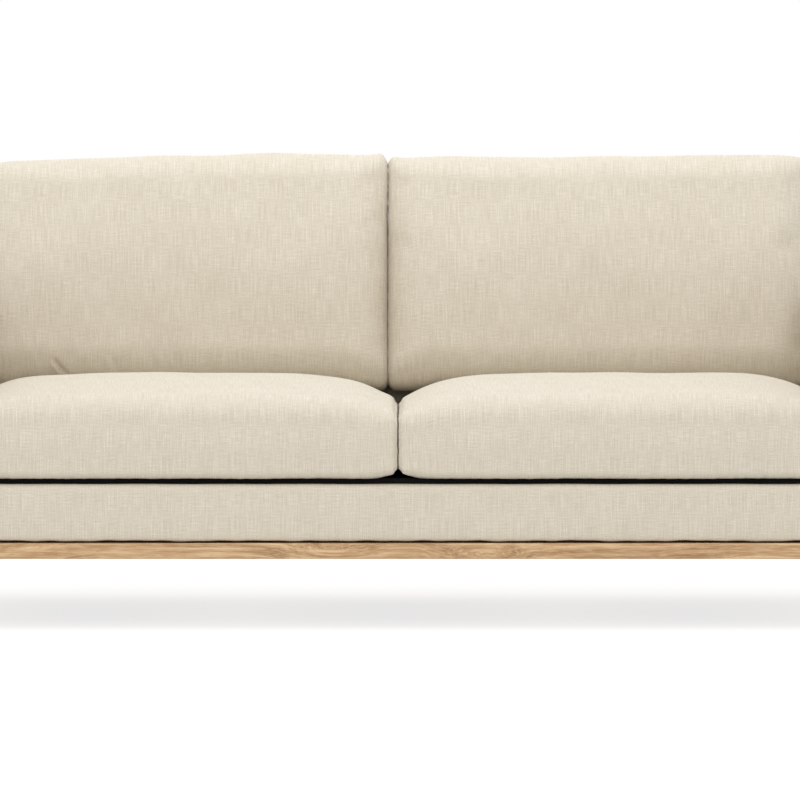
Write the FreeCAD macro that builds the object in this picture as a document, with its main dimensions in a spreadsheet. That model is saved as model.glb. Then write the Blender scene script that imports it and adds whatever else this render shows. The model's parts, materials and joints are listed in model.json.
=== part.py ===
import FreeCAD, Part
import os
import Sketcher
from FreeCAD import Placement, Rotation, Vector

# A sofa with two loose seat cushions and two loose back cushions. The upholstered seat box, arms and
# leaning back stand on an oak base frame of four mitred boards, with a 3 mm shadow gap between fabric and
# oak, and the base stands on four turned oak legs.
# Frame: +X to the right of someone who faces the sofa, +Y to its back, +Z up. The origin is on the floor,
# under the middle of the whole. Left and right are those of someone who faces the sofa.

SIZES = [
    # the whole
    ("overall_width", 1940, "oak base frame, outside to outside"),
    ("overall_depth", 880, "front edge of the oak to the rearmost point of the back"),
    # oak base frame and legs
    ("leg_height", 128, "floor to the underside of the oak, glide included"),
    ("leg_top_radius", 22, "turned leg where it meets the oak"),
    ("leg_foot_radius", 14, "turned leg at its foot"),
    ("leg_foot_chamfer", 2, "eased edge round the foot"),
    ("leg_from_end", 100, "leg axis from the end of the base frame"),
    ("leg_from_edge", 40, "leg axis from the front or rear edge of the base frame"),
    ("glide_height", 6, "nylon glide under each foot"),
    ("glide_radius", 12, "nylon glide"),
    ("hanger_bolt_radius", 4, "M8 hanger bolt"),
    ("hanger_bolt_in_leg", 40, "length screwed into the leg"),
    ("insert_nut_radius", 8, "threaded insert in the oak, outside"),
    ("insert_nut_length", 18, "threaded insert"),
    ("base_thickness", 29, "oak boards, laid flat"),
    ("base_board", 80, "width of the oak boards"),
    ("base_round", 2.5, "eased outer edges of the oak"),
    ("base_reveal", 5, "how far the oak stands out past the fabric"),
    ("shadow_gap", 3, "black spacer strips between oak and body"),
    ("spacer_inset", 18, "spacer strips from the fabric face"),
    ("spacer_width", 30, "spacer strips"),
    ("tenon_length", 50, "loose tenon across each mitre"),
    ("tenon_width", 34, "loose tenon along each mitre"),
    ("tenon_thickness", 8, "loose tenon"),
    ("bearer_offset", 300, "cross bearers from the middle"),
    ("bearer_width", 60, "cross bearers"),
    # seat box
    ("seat_box_height", 104, "upholstered seat rail, bottom to top"),
    ("deck_rise", 9, "deck above the top of the upholstered seat rail"),
    ("rail_thickness", 32, "timber seat rails"),
    ("rail_drop", 20, "top of the upholstered seat rail to the top of the timber rails"),
    ("centre_rail_drop", 12, "centre rail below the other seat rails, clear of the springs"),
    ("corner_block", 70, "legs of the triangular corner blocks"),
    ("front_foam", 12, "foam on the face of the seat rail"),
    ("front_rail_round", 7, "soft top edge of the seat rail"),
    ("spring_gap", 0.8, "spring clips to the pad above them"),
    ("spring_wire", 3.8, "diameter of the sinuous spring wire"),
    ("spring_bar", 26, "straight part of each spring bar"),
    ("clip_length", 20, "spring clip along the rail"),
    ("clip_width", 18, "spring clip across the rail"),
    ("clip_height", 7, "spring clip"),
    # arms
    ("arm_width", 140, "upholstered arm"),
    ("arm_height", 440, "arm, from the shadow gap to its top"),
    ("arm_foam", 18, "foam over the arm frame"),
    ("arm_round", 16, "soft edges of the arm"),
    ("arm_board", 4, "hardboard sides of the arm frame"),
    ("arm_post", 40, "arm posts, front to rear"),
    ("arm_rail", 40, "arm rails, height"),
    # back
    ("back_lean", 10, "lean of the back from upright, in degrees"),
    ("back_length", 575, "back along its lean"),
    ("back_thickness", 110, "upholstered back"),
    ("back_round", 18, "soft edges of the back"),
    ("back_front_foam", 28, "foam on the front of the back frame"),
    ("back_edge_foam", 16, "foam on the other sides of the back frame"),
    ("back_rail", 60, "back rails along the lean, and stiles across"),
    ("webbing_width", 50, "elastic webbing"),
    ("webbing_thickness", 2, "elastic webbing"),
    # loose seat cushions
    ("seat_border", 137, "seat cushion, bottom to side seam"),
    ("seat_crown", 49, "rise of the seat cushion above its side seam"),
    ("seat_shoulder", 20, "rise of the front and rear rolls above the side seam"),
    ("seat_roll", 44, "radius of the front and rear rolls"),
    ("seat_crown_run", 250, "how far from its ends the seat cushion reaches full height"),
    ("seat_front_inset", 2, "seat cushion behind the front edge of the oak"),
    ("seat_rear_gap", 8, "seat cushion to the back, at the deck"),
    ("seat_corner", 28, "seat cushion corners seen from above"),
    # loose back cushions
    ("back_left_width", 802, "left back cushion, pushed up against the left arm"),
    ("back_right_width", 818, "right back cushion"),
    ("back_cushion_border", 120, "back cushion thickness at its seams"),
    ("back_cushion_crown", 50, "bulge of the back cushion in front of its seams"),
    ("back_shoulder", 26, "how far the upper and lower rolls stand in front of the seams"),
    ("back_roll", 44, "radius of the upper and lower rolls"),
    ("back_crown_run", 200, "how far from its ends the back cushion reaches full bulge"),
    ("back_cushion_rise", 12, "foot of the back cushion above the seat cushions' side seams"),
    ("back_cushion_length", 460, "back cushion along the lean"),
    ("back_cushion_gap", 8, "back cushion to the back"),
    ("back_cushion_corner", 26, "back cushion corners seen from the front"),
    # what all cushions share
    ("cushion_gap", 2, "cushion to arm or to its neighbour"),
    ("cushion_lift", 1, "cushion above what it rests on"),
    ("core_gap", 3, "filling inside its cover"),
    ("cover_thickness", 1.5, "linen-look cover cloth"),
    ("body_gap", 1, "upholstered bodies bolted side by side"),
    # zips
    ("zip_length", 640, "zip in the rear border of each cushion"),
    ("zip_height", 70, "zip above the foot of the cushion"),
    ("zip_tape_width", 26, "zip tape"),
    ("zip_tape_thickness", 1, "zip tape"),
    ("zip_chain_width", 6, "zip teeth"),
    ("zip_chain_thickness", 2, "zip teeth"),
    ("slider_length", 14, "zip slider"),
    ("slider_width", 9, "zip slider"),
    ("slider_thickness", 2.2, "zip slider"),
    ("pull_length", 24, "zip puller tab"),
    ("pull_width", 6, "zip puller tab"),
    ("zip_gap", 0.3, "zip to what it moves past"),
    # fasteners
    ("frame_bolt_radius", 4, "M8 bolts that hold arms and back to the seat frame"),
    ("bolt_head_radius", 7, "bolt heads"),
    ("bolt_head_height", 5, "bolt heads"),
    ("bolt_reach", 26, "bolt length in the far timber"),
    ("bolt_height", 30, "bolts above the timber seat rails' foot"),
    ("bolt_from_block", 40, "outer arm bolts from the corner blocks"),
    ("screw_radius", 2.5, "countersunk screws through the oak"),
    ("screw_head_radius", 5, "countersunk screws"),
    ("screw_head_height", 4, "countersunk screws"),
    ("screw_length", 52, "countersunk screws"),
    ("fit_gap", 0.2, "bolts, screws and inserts in their holes"),
]
SPRINGS_PER_SIDE = 7
SPRING_BARS = 26
WEBBING_STRAPS = 10

doc = FreeCAD.newDocument("sofa")
sheet = doc.addObject("Spreadsheet::Sheet", "dims")
for row, (alias, value, note) in enumerate(SIZES, start=1):
    sheet.set(f"A{row}", alias)
    sheet.set(f"B{row}", str(value))
    sheet.setAlias(f"B{row}", alias)
    sheet.set(f"C{row}", note)
doc.recompute()


class Size:
    """A length kept as the text of an expression over the sheet, so that FreeCAD works it out."""

    def __init__(self, text):
        self.text = str(text)

    def __add__(self, other):
        return Size(f"({self.text} + {Size.of(other).text})")

    def __radd__(self, other):
        return Size.of(other) + self

    def __sub__(self, other):
        return Size(f"({self.text} - {Size.of(other).text})")

    def __rsub__(self, other):
        return Size.of(other) - self

    def __mul__(self, other):
        return Size(f"({self.text} * {Size.of(other).text})")

    def __rmul__(self, other):
        return Size.of(other) * self

    def __truediv__(self, other):
        return Size(f"({self.text} / {Size.of(other).text})")

    def __neg__(self):
        return Size(f"(0 - {self.text})")

    @staticmethod
    def of(value):
        return value if isinstance(value, Size) else Size(value)

    @property
    def number(self):
        return float(sheet.evalExpression(self.text))


class Named:
    """dims.arm_width is the Size of the cell with that alias."""

    def __getattr__(self, alias):
        return Size(f"dims.{alias}")


dims = Named()
sin_lean = Size("sin(dims.back_lean * 1 deg)")
cos_lean = Size("cos(dims.back_lean * 1 deg)")
tan_lean = Size("tan(dims.back_lean * 1 deg)")

# heights
oak_bottom = dims.leg_height
oak_top = oak_bottom + dims.base_thickness
body_bottom = oak_top + dims.shadow_gap
timber_bottom = body_bottom + dims.cover_thickness
box_top = body_bottom + dims.seat_box_height
deck_top = box_top + dims.deck_rise
rail_top = box_top - dims.rail_drop
seat_seam = deck_top + dims.cushion_lift + dims.seat_border
arm_top = body_bottom + dims.arm_height

# widths, from the middle
half_width = dims.overall_width / 2
body_half_width = half_width - dims.base_reveal
inner_half_width = body_half_width - dims.arm_width
box_half_width = inner_half_width - dims.body_gap

# depths
oak_front = -dims.overall_depth / 2
body_front = oak_front + dims.base_reveal
back_foot = (
    dims.overall_depth / 2
    - dims.back_round * (1 - cos_lean)
    - (dims.back_length - dims.back_round) * sin_lean
)
oak_rear = back_foot + dims.base_reveal
front_rail_front = body_front + dims.cover_thickness + dims.front_foam
front_rail_rear = front_rail_front + dims.rail_thickness
back_front_foot = back_foot - dims.back_thickness * cos_lean
rear_rail_rear = back_front_foot - dims.body_gap
rear_rail_front = rear_rail_rear - dims.rail_thickness


def back_front_at(height):
    """Y of the front face of the leaning back at a height above the floor."""
    foot_height = body_bottom + dims.back_thickness * sin_lean
    return back_front_foot + (height - foot_height) * tan_lean


def bind(thing, **expressions):
    """Ties properties of an object to expressions; a double underscore stands for a dot."""
    for name, size in expressions.items():
        thing.setExpression(name.replace("__", "."), Size.of(size).text)
    return thing


def place(thing, x=0, y=0, z=0, axis=None, angle=0):
    """Puts an object at a bound place, turned about an axis by a bound number of degrees."""
    thing.Placement = Placement(Vector(), Rotation(Vector(*(axis or (0, 0, 1))), 1 if axis else 0))
    bind(thing, Placement__Base__x=x, Placement__Base__y=y, Placement__Base__z=z)
    if axis:
        bind(thing, Placement__Rotation__Angle=Size.of(angle) * Size("1 deg"))
    return thing


def box(name, x, y, z):
    """A box between two X, two Y and two Z places."""
    block = doc.addObject("Part::Box", name)
    bind(block, Length=x[1] - x[0], Width=y[1] - y[0], Height=z[1] - z[0])
    return place(block, x[0], y[0], z[0])


def lean(y, z):
    """Turns places across and along the leaning back into Y and Z of the sofa."""
    return (
        back_foot + y * cos_lean + z * sin_lean,
        body_bottom - y * sin_lean + z * cos_lean,
    )


def lean_back(thing):
    """Places an object that was modelled upright, with its rear foot at the origin, on the back."""
    return place(thing, 0, back_foot, body_bottom, axis=(1, 0, 0), angle=-dims.back_lean)


def lean_box(name, x, y, z):
    """A box that leans with the back: y is behind its rear face, so it is negative, and z is along it."""
    block = doc.addObject("Part::Box", name)
    bind(block, Length=x[1] - x[0], Width=y[1] - y[0], Height=z[1] - z[0])
    across, up = lean(y[0], z[0])
    return place(block, x[0], across, up, axis=(1, 0, 0), angle=-dims.back_lean)


def rod(name, radius, start, length, axis):
    """A cylinder from a start point along +X, +Y or +Z."""
    cylinder = doc.addObject("Part::Cylinder", name)
    bind(cylinder, Radius=radius, Height=length)
    turn = {"x": ((0, 1, 0), 90), "y": ((1, 0, 0), -90), "z": (None, 0)}[axis]
    return place(cylinder, *start, axis=turn[0], angle=turn[1])


def outlined(body, plane, points):
    """A closed sketch on one of the body's origin planes. Each point is (across, up) or (across, up,
    radius), where the radius is that of an arc to the next point, and they run anticlockwise."""
    sketch = body.newObject("Sketcher::SketchObject", body.Name + "_outline")
    base = [f for f in body.Origin.OriginFeatures if f.Role == plane + "_Plane"][0]
    sketch.AttachmentSupport = (base, [""])
    sketch.MapMode = "FlatFace"
    places = [Vector(Size.of(p[0]).number, Size.of(p[1]).number, 0) for p in points]
    for i, point in enumerate(points):
        start, end = places[i], places[(i + 1) % len(points)]
        if len(point) == 3:
            radius = Size.of(point[2]).number
            chord = end - start
            rise = radius - (radius**2 - chord.Length**2 / 4) ** 0.5
            outward = Vector(chord.y, -chord.x, 0).normalize()
            edge = Part.Arc(start, (start + end) / 2 + outward * rise, end)
        else:
            edge = Part.LineSegment(start, end)
        sketch.addGeometry(edge, False)
    for i, point in enumerate(points):
        sketch.addConstraint(Sketcher.Constraint("Coincident", i, 2, (i + 1) % len(points), 1))
        for kind, size, now in (("DistanceX", point[0], places[i].x), ("DistanceY", point[1], places[i].y)):
            number = sketch.addConstraint(Sketcher.Constraint(kind, -1, 1, i, 1, now))
            sketch.setExpression(f"Constraints[{number}]", Size.of(size).text)
    for i, point in enumerate(points):
        if len(point) == 3:
            number = sketch.addConstraint(Sketcher.Constraint("Radius", i, Size.of(point[2]).number))
            sketch.setExpression(f"Constraints[{number}]", Size.of(point[2]).text)
    return sketch


def prism(name, plane, points, low, high, radius=None, keep=None):
    """An outline padded from low to high along the axis that its plane lacks. With a radius, the edges
    that keep() chooses by their middle and direction are rounded."""
    body = doc.addObject("PartDesign::Body", name)
    sketch = outlined(body, plane, points)
    start = -Size.of(high) if plane == "XZ" else Size.of(low)
    bind(sketch, AttachmentOffset__Base__z=start)
    pad = body.newObject("PartDesign::Pad", name + "_pad")
    pad.Profile = sketch
    bind(pad, Length=high - low)
    doc.recompute()
    if radius is not None:
        chosen = [
            f"Edge{i}"
            for i, edge in enumerate(pad.Shape.Edges, start=1)
            if keep(edge.CenterOfMass, edge.tangentAt(edge.FirstParameter))
        ]
        fillet = body.newObject("PartDesign::Fillet", name + "_round")
        fillet.Base = (pad, chosen)
        bind(fillet, Radius=radius)
        body.Tip = fillet
    return body


def turned(name, points):
    """An outline of radius and height, revolved about Z."""
    body = doc.addObject("PartDesign::Body", name)
    sketch = outlined(body, "XZ", points)
    revolved = body.newObject("PartDesign::Revolution", name + "_turned")
    revolved.Profile = sketch
    revolved.ReferenceAxis = (sketch, ["V_Axis"])
    revolved.Angle = 360
    return body


def combined(kind, name, parts):
    """A group, fusion or common of several objects."""
    made = doc.addObject(kind, name)
    if kind == "Part::Compound":
        made.Links = parts
    else:
        made.Shapes = parts
    return made


def group(name, parts):
    return combined("Part::Compound", name, parts)


def common(name, parts):
    return combined("Part::MultiCommon", name, parts)


def cut(name, base, tool):
    made = doc.addObject("Part::Cut", name)
    made.Base, made.Tool = base, tool
    return made


def cut_all(name, base, tools):
    """The base less each tool in turn; the last cut has the plain name."""
    for i, tool in enumerate(tools, start=1):
        base = cut(name if i == len(tools) else f"{name}_cut_{i}", base, tool)
    return base


def rectangle(x, y):
    return [(x[0], y[0]), (x[1], y[0]), (x[1], y[1]), (x[0], y[1])]


def arc_radius(run, rise):
    """Radius of an arc that is level at one end and has risen by `rise` over `run` from the other."""
    return (run * run + rise * rise) / (2 * rise)


subparts = {}


def keep(label, thing):
    """Makes an object one of the sofa's sub-parts, under the name that its file gets."""
    thing.Label = label
    subparts[label] = thing
    return thing


SIDES = (("left", -1), ("right", 1))


def span(side, near, far):
    """X places of something on one side, from its distances to the middle, lowest first."""
    return (-far, -near) if side < 0 else (near, far)


# ---------------------------------------------------------------- oak base frame and legs
leg_places = {
    f"{end}_{word}": (side * (half_width - dims.leg_from_end), y)
    for word, side in SIDES
    for end, y in (("front", oak_front + dims.leg_from_edge), ("rear", oak_rear - dims.leg_from_edge))
}


def screw(name, x, y):
    """A countersunk wood screw that points up, with its head flush with the underside of the oak."""
    head = doc.addObject("Part::Cone", name + "_head")
    bind(head, Radius1=dims.screw_head_radius, Radius2=dims.screw_radius, Height=dims.screw_head_height)
    place(head, x, y, oak_bottom)
    shank = rod(name + "_shank", dims.screw_radius, (x, y, oak_bottom), dims.screw_length, "z")
    return combined("Part::MultiFuse", name, [head, shank])


def screw_hole(name, x, y):
    """The countersunk hole that a base screw passes through."""
    sink = doc.addObject("Part::Cone", name + "_sink")
    bind(
        sink,
        Radius1=dims.screw_head_radius + dims.fit_gap,
        Radius2=dims.screw_radius + dims.fit_gap,
        Height=dims.screw_head_height,
    )
    place(sink, x, y, oak_bottom)
    drill = rod(
        name + "_drill",
        dims.screw_radius + dims.fit_gap,
        (x, y, oak_bottom),
        dims.screw_length + dims.fit_gap,
        "z",
    )
    return combined("Part::MultiFuse", name, [sink, drill])


screw_places = {
    "front": [
        (inner_half_width * share, (front_rail_front + front_rail_rear) / 2)
        for share in (-0.72, -0.24, 0.24, 0.72)
    ],
    "left": [(-(inner_half_width + body_half_width) / 2, y) for y in (oak_front / 2, -oak_front / 4)],
    "right": [((inner_half_width + body_half_width) / 2, y) for y in (oak_front / 2, -oak_front / 4)],
}
screws = []
screw_holes = {}
for where, places in screw_places.items():
    screws += [screw(f"screw_{where}_{i}", *xy) for i, xy in enumerate(places)]
    screw_holes[where] = group(
        f"screw_holes_{where}", [screw_hole(f"hole_{where}_{i}", *xy) for i, xy in enumerate(places)]
    )
keep("base_screws", group("base_screws", screws))


def tenon(name, side, end, gap):
    """A loose tenon that lies across one of the mitres."""
    corner_x = side * (half_width - dims.base_board / 2)
    corner_y = oak_front + dims.base_board / 2 if end == "front" else oak_rear - dims.base_board / 2
    angle = -45 if (side < 0) == (end == "front") else 45
    half = {True: 1, False: -1}[angle > 0]
    length, width = dims.tenon_length + 2 * gap, dims.tenon_width + 2 * gap
    diagonal = Size("sqrt(0.5)")
    block = doc.addObject("Part::Box", name)
    bind(block, Length=length, Width=width, Height=dims.tenon_thickness + 2 * gap)
    start_x = corner_x - diagonal * (length / 2 - half * width / 2)
    start_y = corner_y - diagonal * (half * length / 2 + width / 2)
    middle = oak_bottom + (dims.base_thickness - dims.tenon_thickness) / 2 - gap
    return place(block, start_x, start_y, middle, axis=(0, 0, 1), angle=angle)


CORNERS = [(end, word, side) for end in ("front", "rear") for word, side in SIDES]
keep(
    "mitre_tenons",
    group("mitre_tenons", [tenon(f"tenon_{end}_{word}", side, end, Size(0)) for end, word, side in CORNERS]),
)
tenon_slots = {
    (end, word): tenon(f"tenon_slot_{end}_{word}", side, end, dims.fit_gap) for end, word, side in CORNERS
}
insert_sockets = {
    corner: rod(
        f"insert_socket_{corner}",
        dims.insert_nut_radius + dims.fit_gap,
        (*xy, oak_bottom),
        dims.insert_nut_length + dims.fit_gap,
        "z",
    )
    for corner, xy in leg_places.items()
}

board = dims.base_board
front_board = prism(
    "front_board",
    "XY",
    [
        (-half_width, oak_front),
        (half_width, oak_front),
        (half_width - board, oak_front + board),
        (board - half_width, oak_front + board),
    ],
    oak_bottom,
    oak_top,
    dims.base_round,
    lambda middle, way: abs(way.x) > 0.99 and middle.y < oak_front.number + 1,
)
rear_board = prism(
    "rear_board",
    "XY",
    [
        (board - half_width, oak_rear - board),
        (half_width - board, oak_rear - board),
        (half_width, oak_rear),
        (-half_width, oak_rear),
    ],
    oak_bottom,
    oak_top,
    dims.base_round,
    lambda middle, way: abs(way.x) > 0.99 and middle.y > oak_rear.number - 1,
)
keep(
    "front_base_rail",
    cut_all(
        "front_base_rail",
        front_board,
        [tenon_slots["front", word] for word, side in SIDES]
        + [insert_sockets[f"front_{word}"] for word, side in SIDES]
        + [screw_holes["front"]],
    ),
)
keep(
    "rear_base_rail",
    cut_all(
        "rear_base_rail",
        rear_board,
        [tenon_slots["rear", word] for word, side in SIDES]
        + [insert_sockets[f"rear_{word}"] for word, side in SIDES],
    ),
)
for word, side in SIDES:
    outer, inner = side * half_width, side * (half_width - board)
    corners = [
        (outer, oak_front),
        (inner, oak_front + board),
        (inner, oak_rear - board),
        (outer, oak_rear),
    ]
    side_board = prism(
        f"{word}_board",
        "XY",
        corners if side < 0 else corners[::-1],
        oak_bottom,
        oak_top,
        dims.base_round,
        lambda middle, way: abs(way.y) > 0.99 and abs(middle.x) > half_width.number - 1,
    )
    keep(
        f"{word}_base_rail",
        cut_all(
            f"{word}_base_rail",
            side_board,
            [tenon_slots[end, word] for end in ("front", "rear")] + [screw_holes[word]],
        ),
    )

bearer_z = (oak_bottom + dims.shadow_gap, body_bottom)
keep(
    "cross_bearers",
    group(
        "cross_bearers",
        [
            box(
                f"bearer_{word}",
                (
                    side * dims.bearer_offset - dims.bearer_width / 2,
                    side * dims.bearer_offset + dims.bearer_width / 2,
                ),
                (oak_front + board, oak_rear - board),
                bearer_z,
            )
            for word, side in SIDES
        ],
    ),
)

spacer_out = body_half_width - dims.spacer_inset
spacer_front = body_front + dims.spacer_inset
spacer_rear = back_foot - dims.spacer_inset
spacer_z = (oak_top, body_bottom)
keep(
    "shadow_gap_spacers",
    cut(
        "shadow_gap_spacers",
        group(
            "spacer_strips",
            [
                box("spacer_front", (-spacer_out, spacer_out),
                    (spacer_front, spacer_front + dims.spacer_width), spacer_z),
                box("spacer_rear", (-spacer_out, spacer_out),
                    (spacer_rear - dims.spacer_width, spacer_rear), spacer_z),
            ]
            + [
                box(
                    f"spacer_{word}",
                    span(side, spacer_out - dims.spacer_width, spacer_out),
                    (spacer_front + dims.spacer_width, spacer_rear - dims.spacer_width),
                    spacer_z,
                )
                for word, side in SIDES
            ],
        ),
        screw_holes["front"],
    ),
)

leg_bolt_hole = dims.hanger_bolt_radius + dims.fit_gap
glides, hanger_bolts, insert_nuts = [], [], []
for corner, (x, y) in leg_places.items():
    foot, hole_foot = dims.glide_height, oak_bottom - dims.hanger_bolt_in_leg - dims.fit_gap
    leg = turned(
        f"leg_{corner}",
        [
            (0, foot),
            (dims.leg_foot_radius - dims.leg_foot_chamfer, foot),
            (dims.leg_foot_radius, foot + dims.leg_foot_chamfer),
            (dims.leg_top_radius, oak_bottom),
            (leg_bolt_hole, oak_bottom),
            (leg_bolt_hole, hole_foot),
            (0, hole_foot),
        ],
    )
    keep(f"leg_{corner}", place(leg, x, y, 0))
    glides.append(rod(f"glide_{corner}", dims.glide_radius, (x, y, 0), dims.glide_height, "z"))
    hanger_bolts.append(
        rod(
            f"hanger_{corner}",
            dims.hanger_bolt_radius,
            (x, y, oak_bottom - dims.hanger_bolt_in_leg),
            dims.hanger_bolt_in_leg + dims.insert_nut_length,
            "z",
        )
    )
    nut = rod(f"nut_{corner}", dims.insert_nut_radius, (x, y, oak_bottom), dims.insert_nut_length, "z")
    bore = rod(f"nut_bore_{corner}", leg_bolt_hole, (x, y, oak_bottom), dims.insert_nut_length, "z")
    insert_nuts.append(cut(f"insert_{corner}", nut, bore))
keep("leg_glides", group("leg_glides", glides))
keep("leg_hanger_bolts", group("leg_hanger_bolts", hanger_bolts))
keep("leg_insert_nuts", group("leg_insert_nuts", insert_nuts))


# ---------------------------------------------------------------- bolts between the frames
def bolt(name, start, reach, axis, way, gap=None):
    """An M8 bolt with a round head at its start, along +X, -X or +Y. With a gap it is the hole for one."""
    radius = dims.frame_bolt_radius + (gap if gap is not None else 0)
    head_radius = dims.bolt_head_radius + (gap if gap is not None else 0)
    x, y, z = start
    if axis == "x":
        shank_x = x if way > 0 else x - reach
        head_x = x - dims.bolt_head_height if way > 0 else x
        shank = rod(name + "_shank", radius, (shank_x, y, z), reach, "x")
        head = rod(name + "_head", head_radius, (head_x, y, z), dims.bolt_head_height, "x")
    else:
        shank = rod(name + "_shank", radius, (x, y, z), reach, "y")
        head = rod(name + "_head", head_radius, (x, y - dims.bolt_head_height, z), dims.bolt_head_height, "y")
    return combined("Part::MultiFuse", name, [shank, head])


bolt_z = timber_bottom + dims.bolt_height
arm_wall = dims.cover_thickness + dims.arm_foam + dims.arm_board
arm_bolt_reach = dims.rail_thickness + dims.body_gap + arm_wall + dims.bolt_reach
arm_bolt_start = box_half_width - dims.rail_thickness
first_arm_bolt = front_rail_rear + dims.corner_block + dims.bolt_from_block
last_arm_bolt = rear_rail_front - dims.corner_block - dims.bolt_from_block
arm_bolt_y = [first_arm_bolt, (first_arm_bolt + last_arm_bolt) / 2, last_arm_bolt]
bolts = []
arm_bolt_holes = {}
for word, side in SIDES:
    starts = [(side * arm_bolt_start, y, bolt_z) for y in arm_bolt_y]
    bolts += [bolt(f"arm_bolt_{word}_{i}", s, arm_bolt_reach, "x", side) for i, s in enumerate(starts)]
    arm_bolt_holes[word] = group(
        f"arm_bolt_holes_{word}",
        [
            bolt(f"arm_hole_{word}_{i}", s, arm_bolt_reach + dims.fit_gap, "x", side, dims.fit_gap)
            for i, s in enumerate(starts)
        ],
    )
back_wall = dims.cover_thickness + dims.back_front_foam
back_bolt_reach = dims.rail_thickness + dims.body_gap + (back_wall + dims.bolt_reach) / cos_lean
back_bolt_starts = [(inner_half_width * share, rear_rail_front, bolt_z) for share in (-0.8, -0.27, 0.27, 0.8)]
bolts += [bolt(f"back_bolt_{i}", s, back_bolt_reach, "y", 1) for i, s in enumerate(back_bolt_starts)]
back_bolt_holes = group(
    "back_bolt_holes",
    [
        bolt(f"back_hole_{i}", s, back_bolt_reach + dims.fit_gap, "y", 1, dims.fit_gap)
        for i, s in enumerate(back_bolt_starts)
    ],
)
keep("frame_bolts", group("frame_bolts", bolts))

# ---------------------------------------------------------------- seat box
rail_z = (timber_bottom, rail_top)
seat_front_rail = box("front_rail_timber", (-box_half_width, box_half_width),
                      (front_rail_front, front_rail_rear), rail_z)
keep("seat_front_rail", cut("seat_front_rail", seat_front_rail, screw_holes["front"]))
seat_rear_rail = box("rear_rail_timber", (-box_half_width, box_half_width),
                     (rear_rail_front, rear_rail_rear), rail_z)
keep("seat_rear_rail", cut("seat_rear_rail", seat_rear_rail, back_bolt_holes))
rail_y = (front_rail_rear, rear_rail_front)
for word, side in SIDES:
    side_rail = box(
        f"{word}_rail_timber", span(side, box_half_width - dims.rail_thickness, box_half_width), rail_y, rail_z
    )
    keep(f"seat_{word}_rail", cut(f"seat_{word}_rail", side_rail, arm_bolt_holes[word]))
keep(
    "seat_centre_rail",
    box(
        "seat_centre_rail",
        (-dims.rail_thickness / 2, dims.rail_thickness / 2),
        rail_y,
        (timber_bottom, rail_top - dims.centre_rail_drop),
    ),
)
block_z = (timber_bottom, rail_top - dims.centre_rail_drop)
corner_blocks = []
for word, side in SIDES:
    wall = side * (box_half_width - dims.rail_thickness)
    for end, y, away in (("front", front_rail_rear, 1), ("rear", rear_rail_front, -1)):
        tip_x, tip_y = wall - side * dims.corner_block, y + away * dims.corner_block
        triangle = [(wall, y), (tip_x, y), (wall, tip_y)]
        turns_left = side * away < 0
        corner_blocks.append(
            prism(f"block_{end}_{word}", "XY", triangle if turns_left else triangle[::-1], *block_z)
        )
keep("seat_corner_blocks", group("seat_corner_blocks", corner_blocks))


def sinuous_spring(x, y_first, y_last, z):
    """One zigzag spring: straight bars across, joined by half circles, from the front to the rear rail."""
    pitch = (y_last - y_first) / SPRING_BARS
    half_bar = dims.spring_bar.number / 2
    edges, way = [], 1
    for bar in range(SPRING_BARS + 1):
        y = y_first + bar * pitch
        start, end = Vector(x - way * half_bar, y, z), Vector(x + way * half_bar, y, z)
        edges.append(Part.LineSegment(start, end).toShape())
        if bar < SPRING_BARS:
            turn = Vector(end.x + way * pitch / 2, y + pitch / 2, z)
            edges.append(Part.Arc(end, turn, Vector(end.x, y + pitch, z)).toShape())
        way = -way
    path = Part.Wire(edges)
    circle = Part.makeCircle(dims.spring_wire.number / 2, path.Vertexes[0].Point, Vector(1, 0, 0))
    return path.makePipeShell([Part.Wire([circle])], True, False)


spring_z = rail_top + dims.clip_height / 2
spring_first = (front_rail_front + front_rail_rear) / 2
spring_last = (rear_rail_front + rear_rail_rear) / 2
spring_room = box_half_width - dims.rail_thickness
spring_x = [
    side * (spring_room * (i + 0.5) / SPRINGS_PER_SIDE) for word, side in SIDES for i in range(SPRINGS_PER_SIDE)
]
springs = doc.addObject("Part::Feature", "seat_springs")
springs.Shape = Part.makeCompound(
    [sinuous_spring(x.number, spring_first.number, spring_last.number, spring_z.number) for x in spring_x]
)
keep("seat_springs", springs)

clips = []
for i, x in enumerate(spring_x):
    for end, y in (("front", spring_first), ("rear", spring_last)):
        half_long, half_wide = dims.clip_length / 2, dims.clip_width / 2
        clip = box(
            f"clip_{end}_{i}",
            (x - half_long, x + half_long),
            (y - half_wide, y + half_wide),
            (rail_top, rail_top + dims.clip_height),
        )
        eye = rod(
            f"clip_eye_{end}_{i}",
            dims.spring_wire / 2 + dims.fit_gap,
            (x - half_long, y, spring_z),
            dims.clip_length,
            "x",
        )
        clips.append(cut(f"clip_bored_{end}_{i}", clip, eye))
keep("spring_clips", group("spring_clips", clips))

pad_bottom = rail_top + dims.clip_height + dims.spring_gap
pad_top = deck_top - dims.cover_thickness
pad_front = front_rail_rear + dims.cover_thickness
deck_x = (-box_half_width, box_half_width)
deck_rear = back_front_at(pad_bottom) - dims.body_gap
keep("seat_deck_pad", box("seat_deck_pad", deck_x, (pad_front, deck_rear), (pad_bottom, pad_top)))
deck_sheet = box("deck_sheet", deck_x, (front_rail_rear, deck_rear), (pad_top, deck_top))
deck_flap = box("deck_flap", deck_x, (front_rail_rear, pad_front), (pad_bottom, pad_top))
keep("seat_deck_cloth", combined("Part::MultiFuse", "seat_deck_cloth", [deck_sheet, deck_flap]))
keep(
    "dust_cover",
    box("dust_cover", deck_x, (front_rail_rear, rear_rail_rear), (body_bottom, timber_bottom)),
)

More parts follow.
